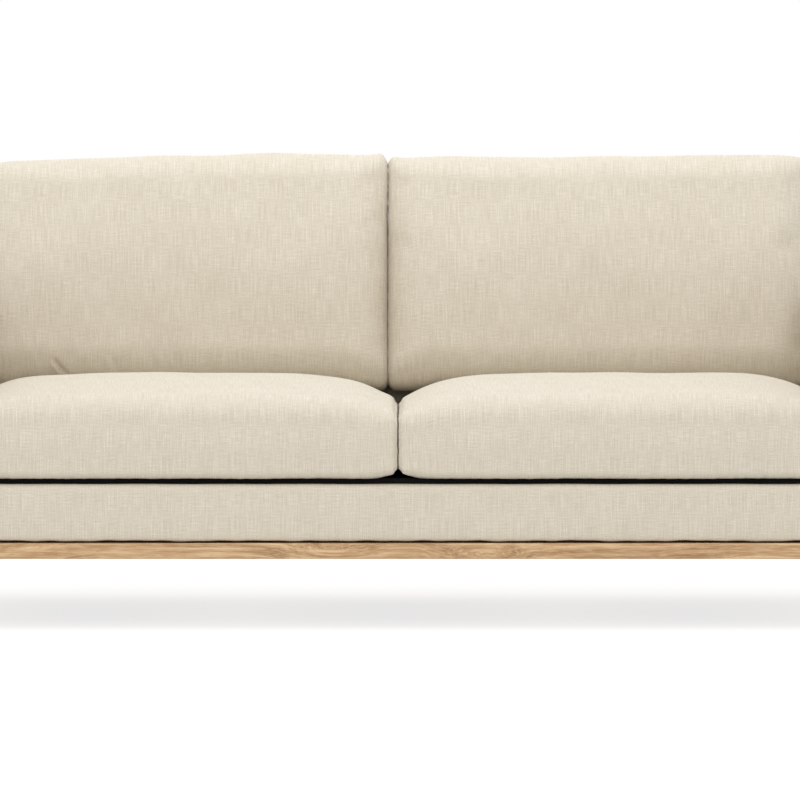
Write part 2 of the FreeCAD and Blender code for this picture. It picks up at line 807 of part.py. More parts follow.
# the fabric over the seat rail is a channel: face, deck edge and a flap stapled underneath
foam_top = box_top - dims.cover_thickness
channel = prism(
    "front_channel",
    "YZ",
    rectangle((body_front, front_rail_rear), (body_bottom, box_top)),
    -box_half_width,
    box_half_width,
    dims.front_rail_round,
    lambda middle, way: abs(way.x) > 0.99
    and middle.y < body_front.number + 1
    and middle.z > box_top.number - 1,
)
channel_core = prism(
    "front_channel_core",
    "YZ",
    rectangle((body_front + dims.cover_thickness, front_rail_rear), (timber_bottom, foam_top)),
    -box_half_width,
    box_half_width,
    dims.front_rail_round - dims.cover_thickness,
    lambda middle, way: abs(way.x) > 0.99
    and middle.y < body_front.number + dims.cover_thickness.number + 1
    and middle.z > foam_top.number - 1,
)
channel_timber = box("front_channel_timber", deck_x, (front_rail_front, front_rail_rear), rail_z)
keep(
    "front_rail_cover",
    cut_all("front_rail_cover", channel, [channel_core, screw_holes["front"]]),
)
clip_row_y = (front_rail_front, front_rail_rear)
clip_row = box("clip_row", deck_x, clip_row_y, (rail_top, rail_top + dims.clip_height + dims.fit_gap))
keep("front_rail_foam", cut_all("front_rail_foam", channel_core, [channel_timber, clip_row]))


# ---------------------------------------------------------------- arms
def arm_block(name, side, inset, foot_inset, radius=None):
    """The arm taken in by an inset all round, and by another at its foot."""
    rise = dims.arm_height - inset
    rear_foot = back_foot + foot_inset * tan_lean - inset / cos_lean
    rear_top = back_foot + rise * tan_lean - inset / cos_lean
    front = body_front + inset
    foot, top = body_bottom + foot_inset, body_bottom + rise
    x = span(side, inner_half_width + inset, body_half_width - inset)
    return prism(
        name,
        "YZ",
        [(front, foot), (rear_foot, foot), (rear_top, top), (front, top)],
        *x,
        radius,
        lambda middle, way: middle.z > foot.number + 1,
    )


arm_boards = []
for word, side in SIDES:
    skin, wall = dims.cover_thickness, dims.cover_thickness + dims.arm_foam
    outside = arm_block(f"arm_{word}_outside", side, Size(0), Size(0), dims.arm_round)
    padding = arm_block(f"arm_{word}_padding", side, skin, skin, dims.arm_round - skin)
    hollow = arm_block(f"arm_{word}_hollow", side, wall, skin)
    keep(
        f"arm_{word}_cover",
        cut_all(
            f"arm_{word}_cover", outside, [padding, arm_bolt_holes[word], screw_holes[word]]
        ),
    )
    keep(
        f"arm_{word}_foam",
        cut_all(f"arm_{word}_foam", padding, [hollow, arm_bolt_holes[word]]),
    )
    frame_front = body_front + wall
    frame_rear = back_foot + skin * tan_lean - wall / cos_lean
    frame_top = arm_top - wall
    inner, outer = inner_half_width + wall, body_half_width - wall
    timber_x = span(side, inner + dims.arm_board, outer - dims.arm_board)
    top_rail_z = (frame_top - dims.arm_rail, frame_top)
    post_z = (timber_bottom, top_rail_z[0])
    keep(
        f"arm_{word}_posts",
        group(
            f"arm_{word}_posts",
            [
                box(f"post_front_{word}", timber_x, (frame_front, frame_front + dims.arm_post), post_z),
                box(f"post_rear_{word}", timber_x, (frame_rear - dims.arm_post, frame_rear), post_z),
            ],
        ),
    )
    top_rail = box(f"arm_top_rail_{word}", timber_x, (frame_front, frame_rear), top_rail_z)
    foot_rail = box(
        f"arm_foot_rail_{word}",
        timber_x,
        (frame_front + dims.arm_post, frame_rear - dims.arm_post),
        (timber_bottom, timber_bottom + dims.bolt_height + dims.arm_rail / 2),
    )
    rails = group(f"arm_rails_whole_{word}", [top_rail, foot_rail])
    keep(
        f"arm_{word}_rails",
        cut_all(f"arm_{word}_rails", rails, [arm_bolt_holes[word], screw_holes[word]]),
    )
    for face, x in (("inner", span(side, inner, inner + dims.arm_board)),
                    ("outer", span(side, outer - dims.arm_board, outer))):
        panel = box(f"board_{face}_{word}", x, (frame_front, frame_rear), (timber_bottom, frame_top))
        arm_boards.append(cut(f"board_bored_{face}_{word}", panel, arm_bolt_holes[word]))
keep("arm_boards", group("arm_boards", arm_boards))


# ---------------------------------------------------------------- back
def back_block(name, inset, front_inset, end_inset, radius=None):
    """The back, upright, with its rear foot at the origin, taken in by insets; it then leans."""
    y = (front_inset - dims.back_thickness, -inset)
    block = prism(
        name,
        "YZ",
        rectangle(y, (inset, dims.back_length - inset)),
        end_inset - box_half_width,
        box_half_width - end_inset,
        radius,
        lambda middle, way: middle.z > inset.number + 1,
    )
    return lean_back(block)


skin, front_wall = dims.cover_thickness, dims.cover_thickness + dims.back_front_foam
edge_wall = dims.cover_thickness + dims.back_edge_foam
back_outside = back_block("back_outside", Size(0), Size(0), Size(0), dims.back_round)
back_padding = back_block("back_padding", skin, skin, skin, dims.back_round - skin)
back_hollow = back_block("back_hollow", edge_wall, front_wall, edge_wall)
keep("back_cover", cut_all("back_cover", back_outside, [back_padding, back_bolt_holes]))
keep("back_foam", cut_all("back_foam", back_padding, [back_hollow, back_bolt_holes]))

back_half = box_half_width - edge_wall
strap_room = dims.webbing_thickness + dims.fit_gap
timber_y = (front_wall + strap_room - dims.back_thickness, -edge_wall)
foot_z = (edge_wall, edge_wall + dims.back_rail)
head_z = (dims.back_length - edge_wall - dims.back_rail, dims.back_length - edge_wall)
back_x = (-back_half, back_half)
keep("back_top_rail", lean_box("back_top_rail", back_x, timber_y, head_z))
foot_rail = lean_box("back_foot_timber", back_x, timber_y, foot_z)
keep("back_bottom_rail", cut("back_bottom_rail", foot_rail, back_bolt_holes))
stile_z = (foot_z[1], head_z[0])
stiles = [
    lean_box("stile_left", (-back_half, dims.back_rail - back_half), timber_y, stile_z),
    lean_box("stile_right", (back_half - dims.back_rail, back_half), timber_y, stile_z),
    lean_box("stile_centre", (-dims.back_rail / 2, dims.back_rail / 2), timber_y, stile_z),
]
keep("back_stiles", group("back_stiles", stiles))
strap_y = (front_wall - dims.back_thickness, front_wall + dims.webbing_thickness - dims.back_thickness)
strap_pitch = (2 * back_half - 2 * dims.back_rail) / WEBBING_STRAPS
straps = []
for i in range(WEBBING_STRAPS):
    middle = dims.back_rail - back_half + strap_pitch * (i + 0.5)
    strap_x = (middle - dims.webbing_width / 2, middle + dims.webbing_width / 2)
    straps.append(lean_box(f"strap_{i}", strap_x, strap_y, (foot_z[0], head_z[1])))
keep("back_webbing", cut("back_webbing", group("back_straps", straps), back_bolt_holes))


# ---------------------------------------------------------------- loose cushions
def grown(places, inset):
    return (places[0] + inset, places[1] - inset)


def seat_cushion_block(name, x, inset, to_rear=None):
    """A seat cushion with a crowned top and rolled front and rear edges, taken in by an inset, or grown
    where it is negative. With to_rear it goes on behind its rear edge, level with the top of the roll."""
    foot, seam = deck_top + dims.cushion_lift + inset, seat_seam - inset
    top, shoulder = seam + dims.seat_crown, seam + dims.seat_shoulder
    left, right = grown(x, inset)
    front = oak_front + dims.seat_front_inset + inset
    rear = back_front_at(deck_top) - dims.seat_rear_gap - inset
    run, roll = dims.seat_crown_run, dims.seat_roll - inset
    end_arc = arc_radius(run, dims.seat_crown)
    last = rear if to_rear is None else rear + to_rear
    front_view = prism(
        name + "_front_view",
        "XZ",
        [
            (left, foot),
            (right, foot),
            (right, seam, end_arc),
            (right - run, top),
            (left + run, top, end_arc),
            (left, seam),
        ],
        front,
        last,
    )
    side_arc = arc_radius((rear - front) / 2 - roll, dims.seat_crown - dims.seat_shoulder)
    rear_edge = [(last, shoulder)] if to_rear is not None else [(rear, shoulder - roll, roll)]
    side_points = [
        (front, foot),
        (last, foot),
        *rear_edge,
        (rear - roll, shoulder, side_arc),
        (front + roll, shoulder, roll),
        (front, shoulder - roll),
    ]
    side_view = prism(name + "_side_view", "YZ", side_points, left, right)
    if to_rear is not None:
        return common(name, [front_view, side_view])
    plan = prism(
        name + "_plan",
        "XY",
        rectangle((left, right), (front, rear)),
        foot,
        top,
        dims.seat_corner - inset,
        lambda middle, way: abs(way.z) > 0.99,
    )
    return common(name, [front_view, side_view, plan])


back_rear_face = -dims.back_thickness - dims.back_cushion_gap
back_seam_face = back_rear_face - dims.back_cushion_border
back_cushion_start = (
    seat_seam + dims.back_cushion_rise - body_bottom + back_seam_face * sin_lean
) / cos_lean


def back_cushion_block(name, x, inset):
    """A back cushion with a bulging front and rolled edges, upright and then leaned on the back."""
    left, right = grown(x, inset)
    rear, seam = back_rear_face - inset, back_seam_face + inset
    face, shoulder = seam - dims.back_cushion_crown, seam - dims.back_shoulder
    foot = back_cushion_start + inset
    top = back_cushion_start + dims.back_cushion_length - inset
    run, roll = dims.back_crown_run, dims.back_roll - inset
    end_arc = arc_radius(run, dims.back_cushion_crown)
    side_arc = arc_radius((top - foot) / 2 - roll, dims.back_cushion_crown - dims.back_shoulder)
    plan = prism(
        name + "_plan",
        "XY",
        [
            (left, seam, end_arc),
            (left + run, face),
            (right - run, face, end_arc),
            (right, seam),
            (right, rear),
            (left, rear),
        ],
        foot,
        top,
    )
    side_points = [
        (shoulder + roll, foot),
        (rear, foot),
        (rear, top),
        (shoulder + roll, top, roll),
        (shoulder, top - roll, side_arc),
        (shoulder, foot + roll, roll),
    ]
    side_view = prism(name + "_side_view", "YZ", side_points, left, right)
    front_view = prism(
        name + "_front_view",
        "XZ",
        rectangle((left, right), (foot, top)),
        face,
        rear,
        dims.back_cushion_corner - inset,
        lambda middle, way: abs(way.y) > 0.99,
    )
    return lean_back(common(name, [plan, side_view, front_view]))


seat_joint = dims.cushion_gap / 2
seat_x = {
    "left": (dims.cushion_gap - inner_half_width, -seat_joint),
    "right": (seat_joint, inner_half_width - dims.cushion_gap),
}
back_left_end = dims.cushion_gap - inner_half_width + dims.back_left_width
back_x = {
    "left": (dims.cushion_gap - inner_half_width, back_left_end),
    "right": (
        back_left_end + dims.cushion_gap,
        back_left_end + dims.cushion_gap + dims.back_right_width,
    ),
}
layers = {
    "outside": Size(0),
    "inside": dims.cover_thickness,
    "core": dims.cover_thickness + dims.core_gap,
}

for word, side in SIDES:
    solids = {k: seat_cushion_block(f"seat_{word}_{k}", seat_x[word], inset) for k, inset in layers.items()}
    keep(
        f"seat_cushion_{word}_cover",
        cut(f"seat_cushion_{word}_cover", solids["outside"], solids["inside"]),
    )
    keep(f"seat_cushion_{word}_foam", solids["core"])

behind_seat = dims.back_cushion_border
seat_room = {}
for layer, inset in layers.items():
    grown_seats = [
        seat_cushion_block(f"seat_room_{layer}_{word}", seat_x[word], -inset - dims.cushion_lift, behind_seat)
        for word, side in SIDES
    ]
    seat_room[layer] = combined("Part::MultiFuse", f"seat_room_{layer}", grown_seats)
for word, side in SIDES:
    solids = {}
    for layer, inset in layers.items():
        block = back_cushion_block(f"back_{word}_{layer}_whole", back_x[word], inset)
        solids[layer] = cut(f"back_{word}_{layer}", block, seat_room[layer])
    keep(
        f"back_cushion_{word}_cover",
        cut(f"back_cushion_{word}_cover", solids["outside"], solids["inside"]),
    )
    keep(f"back_cushion_{word}_filling", solids["core"])


# ---------------------------------------------------------------- zips
def zip_blocks(name, make, middle, face, foot):
    """A zip on a rear face, and its slider at the left end; make is box or lean_box."""
    half = dims.zip_length / 2
    x = (middle - half, middle + half)
    height = foot + dims.zip_height
    tape_y = (face, face + dims.zip_tape_thickness)
    chain_y = (tape_y[1], tape_y[1] + dims.zip_chain_thickness)
    tape_z = (height - dims.zip_tape_width / 2, height + dims.zip_tape_width / 2)
    chain_z = (height - dims.zip_chain_width / 2, height + dims.zip_chain_width / 2)
    tape = make(f"{name}_tape", x, tape_y, tape_z)
    chain = make(f"{name}_chain", x, chain_y, chain_z)
    keep(f"{name}_zip", combined("Part::MultiFuse", f"{name}_zip", [tape, chain]))
    slider_y = (chain_y[1] + dims.zip_gap, chain_y[1] + dims.zip_gap + dims.slider_thickness)
    slider_z = (height - dims.slider_width / 2, height + dims.slider_width / 2)
    start = x[0] + dims.slider_length / 2
    runner = make(f"{name}_runner", (start, start + dims.slider_length), slider_y, slider_z)
    centre = start + dims.slider_length / 2
    tab = make(
        f"{name}_tab",
        (centre - dims.pull_width / 2, centre + dims.pull_width / 2),
        slider_y,
        (slider_z[0] - dims.pull_length, slider_z[0]),
    )
    keep(f"{name}_zip_slider", combined("Part::MultiFuse", f"{name}_zip_slider", [runner, tab]))


seat_rear_face = back_front_at(deck_top) - dims.seat_rear_gap
for word, side in SIDES:
    middle = (seat_x[word][0] + seat_x[word][1]) / 2
    zip_blocks(f"seat_cushion_{word}", box, middle, seat_rear_face, deck_top + dims.cushion_lift)
    middle = (back_x[word][0] + back_x[word][1]) / 2
    zip_blocks(f"back_cushion_{word}", lean_box, middle, back_rear_face, back_cushion_start)

# ---------------------------------------------------------------- check and write
doc.recompute()
for thing in doc.Objects:
    if "Invalid" in thing.State or "Error" in thing.State:
        raise RuntimeError(f"{thing.Label} failed: {thing.State}")
os.makedirs("parts", exist_ok=True)
for label, thing in subparts.items():
    shape = thing.Shape
    if shape.isNull() or not shape.isValid() or not shape.Solids:
        raise RuntimeError(f"{label} has no valid solid")
    shape.exportStep(f"parts/{label}.step")
    print(f"{label}: {len(shape.Solids)} solids, {shape.Volume / 1000:.1f} cm3")
print(len(subparts), "sub-parts")
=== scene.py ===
# %% [markdown]
# # A sofa with wooden legs
# This lesson dresses a finished mechanical model of a two-seat sofa in cloth, foam and oak. The model comes
# first, as a frame of plain solids that already has the right sizes and joints. Every piece made here is in
# metres in that same frame, so it goes where the solids are, and nothing has to be fitted by eye.

# %% Load the frame
import json
import math

import bmesh
import bpy
import numpy as np
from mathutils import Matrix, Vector


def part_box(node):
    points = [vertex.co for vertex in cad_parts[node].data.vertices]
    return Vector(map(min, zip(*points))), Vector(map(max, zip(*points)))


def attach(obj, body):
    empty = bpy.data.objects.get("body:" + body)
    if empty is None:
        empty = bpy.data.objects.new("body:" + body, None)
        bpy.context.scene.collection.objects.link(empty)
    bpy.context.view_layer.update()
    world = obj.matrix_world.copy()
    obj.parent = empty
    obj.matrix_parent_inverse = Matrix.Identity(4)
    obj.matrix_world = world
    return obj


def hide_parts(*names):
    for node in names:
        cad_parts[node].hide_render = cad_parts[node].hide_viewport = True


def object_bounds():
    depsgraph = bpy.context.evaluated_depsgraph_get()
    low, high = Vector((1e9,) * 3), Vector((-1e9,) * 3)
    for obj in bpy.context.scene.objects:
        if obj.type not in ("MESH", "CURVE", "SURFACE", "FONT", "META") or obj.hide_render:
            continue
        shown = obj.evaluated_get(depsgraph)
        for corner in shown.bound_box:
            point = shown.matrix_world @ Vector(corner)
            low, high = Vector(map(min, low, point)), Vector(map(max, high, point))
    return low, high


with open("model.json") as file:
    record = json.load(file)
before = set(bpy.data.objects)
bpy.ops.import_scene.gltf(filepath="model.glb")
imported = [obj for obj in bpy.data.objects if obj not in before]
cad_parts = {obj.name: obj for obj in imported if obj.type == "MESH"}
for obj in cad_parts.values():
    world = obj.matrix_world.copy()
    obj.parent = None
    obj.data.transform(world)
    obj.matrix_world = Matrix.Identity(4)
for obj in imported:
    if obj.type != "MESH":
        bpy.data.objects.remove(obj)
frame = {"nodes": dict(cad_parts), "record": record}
cad_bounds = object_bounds()
nodes = frame["nodes"]
scene = bpy.context.scene


def in_scene(name, data):
    """A new object in the scene."""
    made = bpy.data.objects.new(name, data)
    scene.collection.objects.link(made)
    return made


# %% [markdown]
# The sofa is shown the way a catalogue shows it: from straight ahead, from far away, with the eye a little
# above the top of the back. A long lens a good ten metres away keeps the cushions from bulging towards the
# viewer, and tilting the camera down by two degrees shows just a sliver of the seat's top.

# %% Camera
SENSOR = 0.036
VIEW_WIDTH = 1.4707
EYE_DISTANCE, EYE_HEIGHT, EYE_X, AIM_HEIGHT = 10.0, 0.850, 0.0037, 0.4212
sofa_front = cad_bounds[0].y

camera = in_scene("camera", bpy.data.cameras.new("camera"))
scene.camera = camera
camera.location = (EYE_X, sofa_front - EYE_DISTANCE, EYE_HEIGHT)
aim = Vector((EYE_X, sofa_front, AIM_HEIGHT)) - camera.location
camera.rotation_euler = aim.to_track_quat("-Z", "Y").to_euler()
camera.data.sensor_width = SENSOR * 1000
camera.data.lens = SENSOR * 1000 * aim.length / VIEW_WIDTH
camera.data.clip_start, camera.data.clip_end = 0.5, 200
tilt = math.degrees(math.asin(-aim.z / aim.length))
print("lens %.0f mm, tilted down %.2f degrees" % (camera.data.lens, tilt))

# %% [markdown]
# Furniture for a catalogue stands on a pale floor under a large soft light from above, in a room that is
# white all round. The world does the work of the white room. One big lamp overhead makes the tops of the
# cushions brighter than their faces, and a weaker one beside the camera lights the front a little from the
# left. The floor shines by itself, as a lit paper sweep does, so that the shadow under the sofa stays pale.

# %% Light and floor
def linear(colour):
    """An sRGB colour written as hex, as linear red, green, blue and alpha."""
    parts = [int(colour[i : i + 2], 16) / 255 for i in (1, 3, 5)]
    return [p / 12.92 if p <= 0.04045 else ((p + 0.055) / 1.055) ** 2.4 for p in parts] + [1.0]


def add_node(tree, kind, *values, out=None, **settings):
    """Adds a node and returns its output: the first one, or the one named by out. Values feed its inputs in
    order. A setting names a property of the node or an input. A socket is linked, anything else is set."""
    node = tree.nodes.new(kind)
    feeds = dict(enumerate(values))
    for key, value in settings.items():
        if hasattr(node, key):
            setattr(node, key, value)
        else:
            feeds[key.replace("_", " ")] = value
    inputs = [socket for socket in node.inputs if socket.enabled]
    named = {socket.name: socket for socket in inputs}
    for key, value in feeds.items():
        socket = named[key] if key in named else inputs[key]
        if isinstance(value, bpy.types.NodeSocket):
            tree.links.new(value, socket)
        else:
            socket.default_value = value
    return [socket for socket in node.outputs if socket.enabled and out in (None, socket.name)][0]


def material(name, **shader_values):
    """A new material, and its node tree and shader. Values are set on the shader's own sockets."""
    made = bpy.data.materials.new(name)
    made.use_nodes = True
    shader = made.node_tree.nodes["Principled BSDF"]
    for key, value in shader_values.items():
        shader.inputs[key.replace("_", " ")].default_value = value
    return made, made.node_tree, shader


scene.view_settings.view_transform = "Standard"
scene.view_settings.look = "None"
world = bpy.data.worlds.new("white room")
scene.world = world
world.use_nodes = True
world.node_tree.nodes["Background"].inputs["Color"].default_value = (1, 1, 1, 1)
world.node_tree.nodes["Background"].inputs["Strength"].default_value = 1.0


def soft_light(name, place, aim_at, size, watts, colour="#ffffff"):
    """A rectangular lamp at a place, turned to a point."""
    lamp = bpy.data.lights.new(name, "AREA")
    lamp.shape, lamp.size, lamp.size_y = "RECTANGLE", size[0], size[1]
    lamp.energy, lamp.color = watts, linear(colour)[:3]
    holder = in_scene(name, lamp)
    holder.location = place
    holder.rotation_euler = (Vector(aim_at) - Vector(place)).to_track_quat("-Z", "Y").to_euler()


soft_light("overhead", (0.0, -0.35, 3.2), (0.0, -0.1, 0.4), (3.4, 2.2), 43, "#f3f8ff")
soft_light("front", (-1.6, -4.6, 2.4), (0.0, -0.3, 0.45), (2.6, 2.0), 15)

FLOOR_HALF, FLOOR_LEVEL, FLOOR_GLOW = 60.0, -0.0005, 0.76
floor_material, _, _ = material(
    "lit_paper_sweep", Base_Color=linear("#898989"), Roughness=0.9, Specular_IOR_Level=0.0,
    Emission_Color=linear("#ffffff"), Emission_Strength=FLOOR_GLOW)
floor_mesh = bpy.data.meshes.new("floor")
floor_corners = [(x * FLOOR_HALF, y * FLOOR_HALF, FLOOR_LEVEL) for x, y in ((-1, -1), (1, -1), (1, 1), (-1, 1))]
floor_mesh.from_pydata(floor_corners, [], [(0, 1, 2, 3)])
floor_mesh.materials.append(floor_material)
floor = in_scene("floor", floor_mesh)
print("floor and", len(bpy.data.lights), "lights")

# %% [markdown]
# ## Cloth
# The cover is a linen-look upholstery cloth: polyester and linen yarn in a basket weave, two threads over
# two. What the eye sees from a few steps away isn't the weave but its slubs, thick places in the yarn that
# show as thin light streaks, most of them upright because they lie in the warp. A real thread is 0.9 mm
# wide. Here the weave is drawn at 2.6 mm, because a finer one can't show. Noise stretched along the cloth
# gives the slubs. It reads the cloth's own map, in metres, so that the threads follow each panel.

# %% Recipes shared by the materials
MM = 0.001
MATH, VECTOR, RANGE = "ShaderNodeMath", "ShaderNodeVectorMath", "ShaderNodeMapRange"
NOISE, MAPPING, COMBINE = "ShaderNodeTexNoise", "ShaderNodeMapping", "ShaderNodeCombineXYZ"


def shaded(tree, pattern, limits, low, high, most=1.0):
    """A colour that goes from low to high as a pattern rises between two limits, by this share at most."""
    share = add_node(tree, RANGE, pattern, *limits, To_Max=most)
    return add_node(tree, "ShaderNodeMix", share, low, high, data_type="RGBA")


def crossing(tree, place, thread, join, turn=(0, 0, 0)):
    """Two sets of threads at right angles: waves from 0 to 1 along X and along Y, joined into one pattern."""
    turned = add_node(tree, MAPPING, place, Scale=(1 / thread,) * 3, Rotation=turn)
    rows = []
    for axis in "XY":
        run = add_node(tree, "ShaderNodeSeparateXYZ", turned, out=axis)
        angle = add_node(tree, MATH, run, math.pi, operation="MULTIPLY")
        wave = add_node(tree, MATH, angle, operation="SINE")
        rows.append(add_node(tree, MATH, wave, operation="ABSOLUTE"))
    return add_node(tree, MATH, *rows, operation=join)


def surfaced(tree, shader, colour, height, depth, strength=1.0):
    """Gives a shader its colour and its relief."""
    relief = add_node(tree, "ShaderNodeBump", Height=height, Distance=depth, Strength=strength)
    tree.links.new(colour, shader.inputs["Base Color"])
    tree.links.new(relief, shader.inputs["Normal"])


print("one function adds every node")

# %% Linen weave
CLOTH_MAP = "cloth"
WEAVE, WEAVE_SHARE = 2.6 * MM, 0.24
CLOTH_DARK, CLOTH_BASE, CLOTH_LIGHT = linear("#bcb3a0"), linear("#cfc5b4"), linear("#ebe5d8")
# Width and height in millimetres, detail, roughness, the part of the pattern's range that shows, its share.
YARNS = {
    "warp": ((1.5, 48), 1.0, 0.5, (0.25, 0.75), 0.25),
    "slubs in the warp": ((2.1, 90), 1.0, 0.5, (0.55, 0.80), 0.09),
    "weft": ((26, 1.6), 1.0, 0.5, (0.25, 0.75), 0.17),
    "slubs in the weft": ((34, 1.9), 1.0, 0.5, (0.58, 0.80), 0.07),
    "lint": ((1.1, 1.9), 1.0, 0.5, (0.2, 0.8), 0.44),
    "mottle": ((70, 70), 3.0, 0.6, (0.3, 0.7), 0.03),
}

linen, tree, shader = material(
    "linen_weave_basket", Roughness=0.92, Sheen_Weight=0.30, Sheen_Roughness=0.40,
    Sheen_Tint=(1.0, 0.99, 0.96, 1.0), Specular_IOR_Level=0.25)
cloth_uv = add_node(tree, "ShaderNodeUVMap", uv_map=CLOTH_MAP)
threads = 0.0
for (wide, tall), detail, roughness, limits, share in YARNS.values():
    stretched = add_node(tree, MAPPING, cloth_uv, Scale=(1 / (wide * MM), 1 / (tall * MM), 1))
    pattern = add_node(tree, NOISE, stretched, 1.0, detail, roughness, noise_dimensions="2D")
    shown = add_node(tree, RANGE, pattern, *limits)
    threads = add_node(tree, MATH, shown, share, threads, operation="MULTIPLY_ADD")
basket = crossing(tree, cloth_uv, WEAVE, "MULTIPLY")
threads = add_node(tree, MATH, basket, WEAVE_SHARE, threads, operation="MULTIPLY_ADD")
cloth_colour = shaded(tree, threads, (0.18, 0.68), CLOTH_DARK, CLOTH_BASE)
cloth_colour = shaded(tree, threads, (0.53, 1.18), cloth_colour, CLOTH_LIGHT)
surfaced(tree, shader, cloth_colour, threads, 0.8 * MM, 0.25)
print("cloth:", len(tree.nodes), "nodes")

# %% [markdown]
# ## Sewn forms
# Cushions, arms and backs are all sewn the same way: one long panel wraps round the front, top and back, and
# a flat border closes each end. So one function makes them all. It draws the section of the piece as a
# closed loop with four rounded corners, sweeps that loop from the left end to the right, rounds the two
# ends off with smaller and smaller loops, and closes each end with a grid. The loop may change along the
# way, which is how a cushion gets its crown. Everything is made of even four-sided cells about a centimetre
# wide, because a cloth simulation needs cells of one size.

# %% The section of a sewn piece
CORNER_STEPS, SIDE_STEPS = 8, 60
LEAST_CORNER = 1.5 * MM


def section(corners, radii, swells, inset, counts):
    """Four sides as rows of points: up the front, along the top, down the rear, back along the foot.
    Corners and points are (y, z). Each side swells outwards by its own amount at its middle."""
    corners = np.array(corners, float)
    ahead = np.roll(corners, -1, 0) - corners
    ahead /= np.linalg.norm(ahead, axis=1)[:, None]
    outward = np.stack([-ahead[:, 1], ahead[:, 0]], 1)
    before, before_out = np.roll(ahead, 1, 0), np.roll(outward, 1, 0)
    share = (1 + (outward * before_out).sum(1))[:, None]
    corners = corners - inset * (outward + before_out) / share
    arcs = []
    for corner, radius, way_in, way_out, out in zip(corners, radii, before, ahead, before_out):
        turn = math.acos(max(-1.0, min(1.0, float(way_in @ way_out))))
        radius = max(radius - inset, LEAST_CORNER)
        start = corner - way_in * radius * math.tan(turn / 2)
        angles = np.linspace(0, turn, 2 * CORNER_STEPS + 1)[:, None]
        arcs.append(start - out * radius + radius * (out * np.cos(angles) + way_in * np.sin(angles)))
    sides = []
    for k in range(4):
        first, second = arcs[k], arcs[(k + 1) % 4]
        along = np.linspace(0, 1, SIDE_STEPS + 1)[1:-1, None]
        straight = first[-1] + (second[0] - first[-1]) * along
        straight = straight + outward[k] * swells[k] * np.sin(math.pi * along) ** 1.3
        dense = np.concatenate([first[CORNER_STEPS:], straight, second[: CORNER_STEPS + 1]])
        lengths = np.concatenate([[0], np.cumsum(np.linalg.norm(np.diff(dense, axis=0), axis=1))])
        wanted = np.linspace(0, lengths[-1], counts[k] + 1)
        sides.append(np.stack([np.interp(wanted, lengths, dense[:, a]) for a in (0, 1)], 1))
    return sides


# %% Sweeping it into a closed form
END_RINGS = 4
CAP_STEEPNESS = 2.5


def finished(name, mesh):
    """A bmesh as a piece in the scene."""
    made = bpy.data.meshes.new(name)
    mesh.to_mesh(made)
    mesh.free()
    return in_scene(name, made)


def filled(sides):
    """A grid of points inside one loop, worked out from its four sides."""
    front, top, rear, foot = sides[0], sides[1], sides[2][::-1], sides[3][::-1]
    across = np.linspace(0, 1, len(top))[None, :, None]
    up = np.linspace(0, 1, len(front))[:, None, None]
    between = (1 - across) * front[:, None] + across * rear[:, None]
    between = between + (1 - up) * foot[None] + up * top[None]
    lower, upper = ((1 - across) * side[0] + across * side[-1] for side in (foot, top))
    return between - ((1 - up) * lower + up * upper)


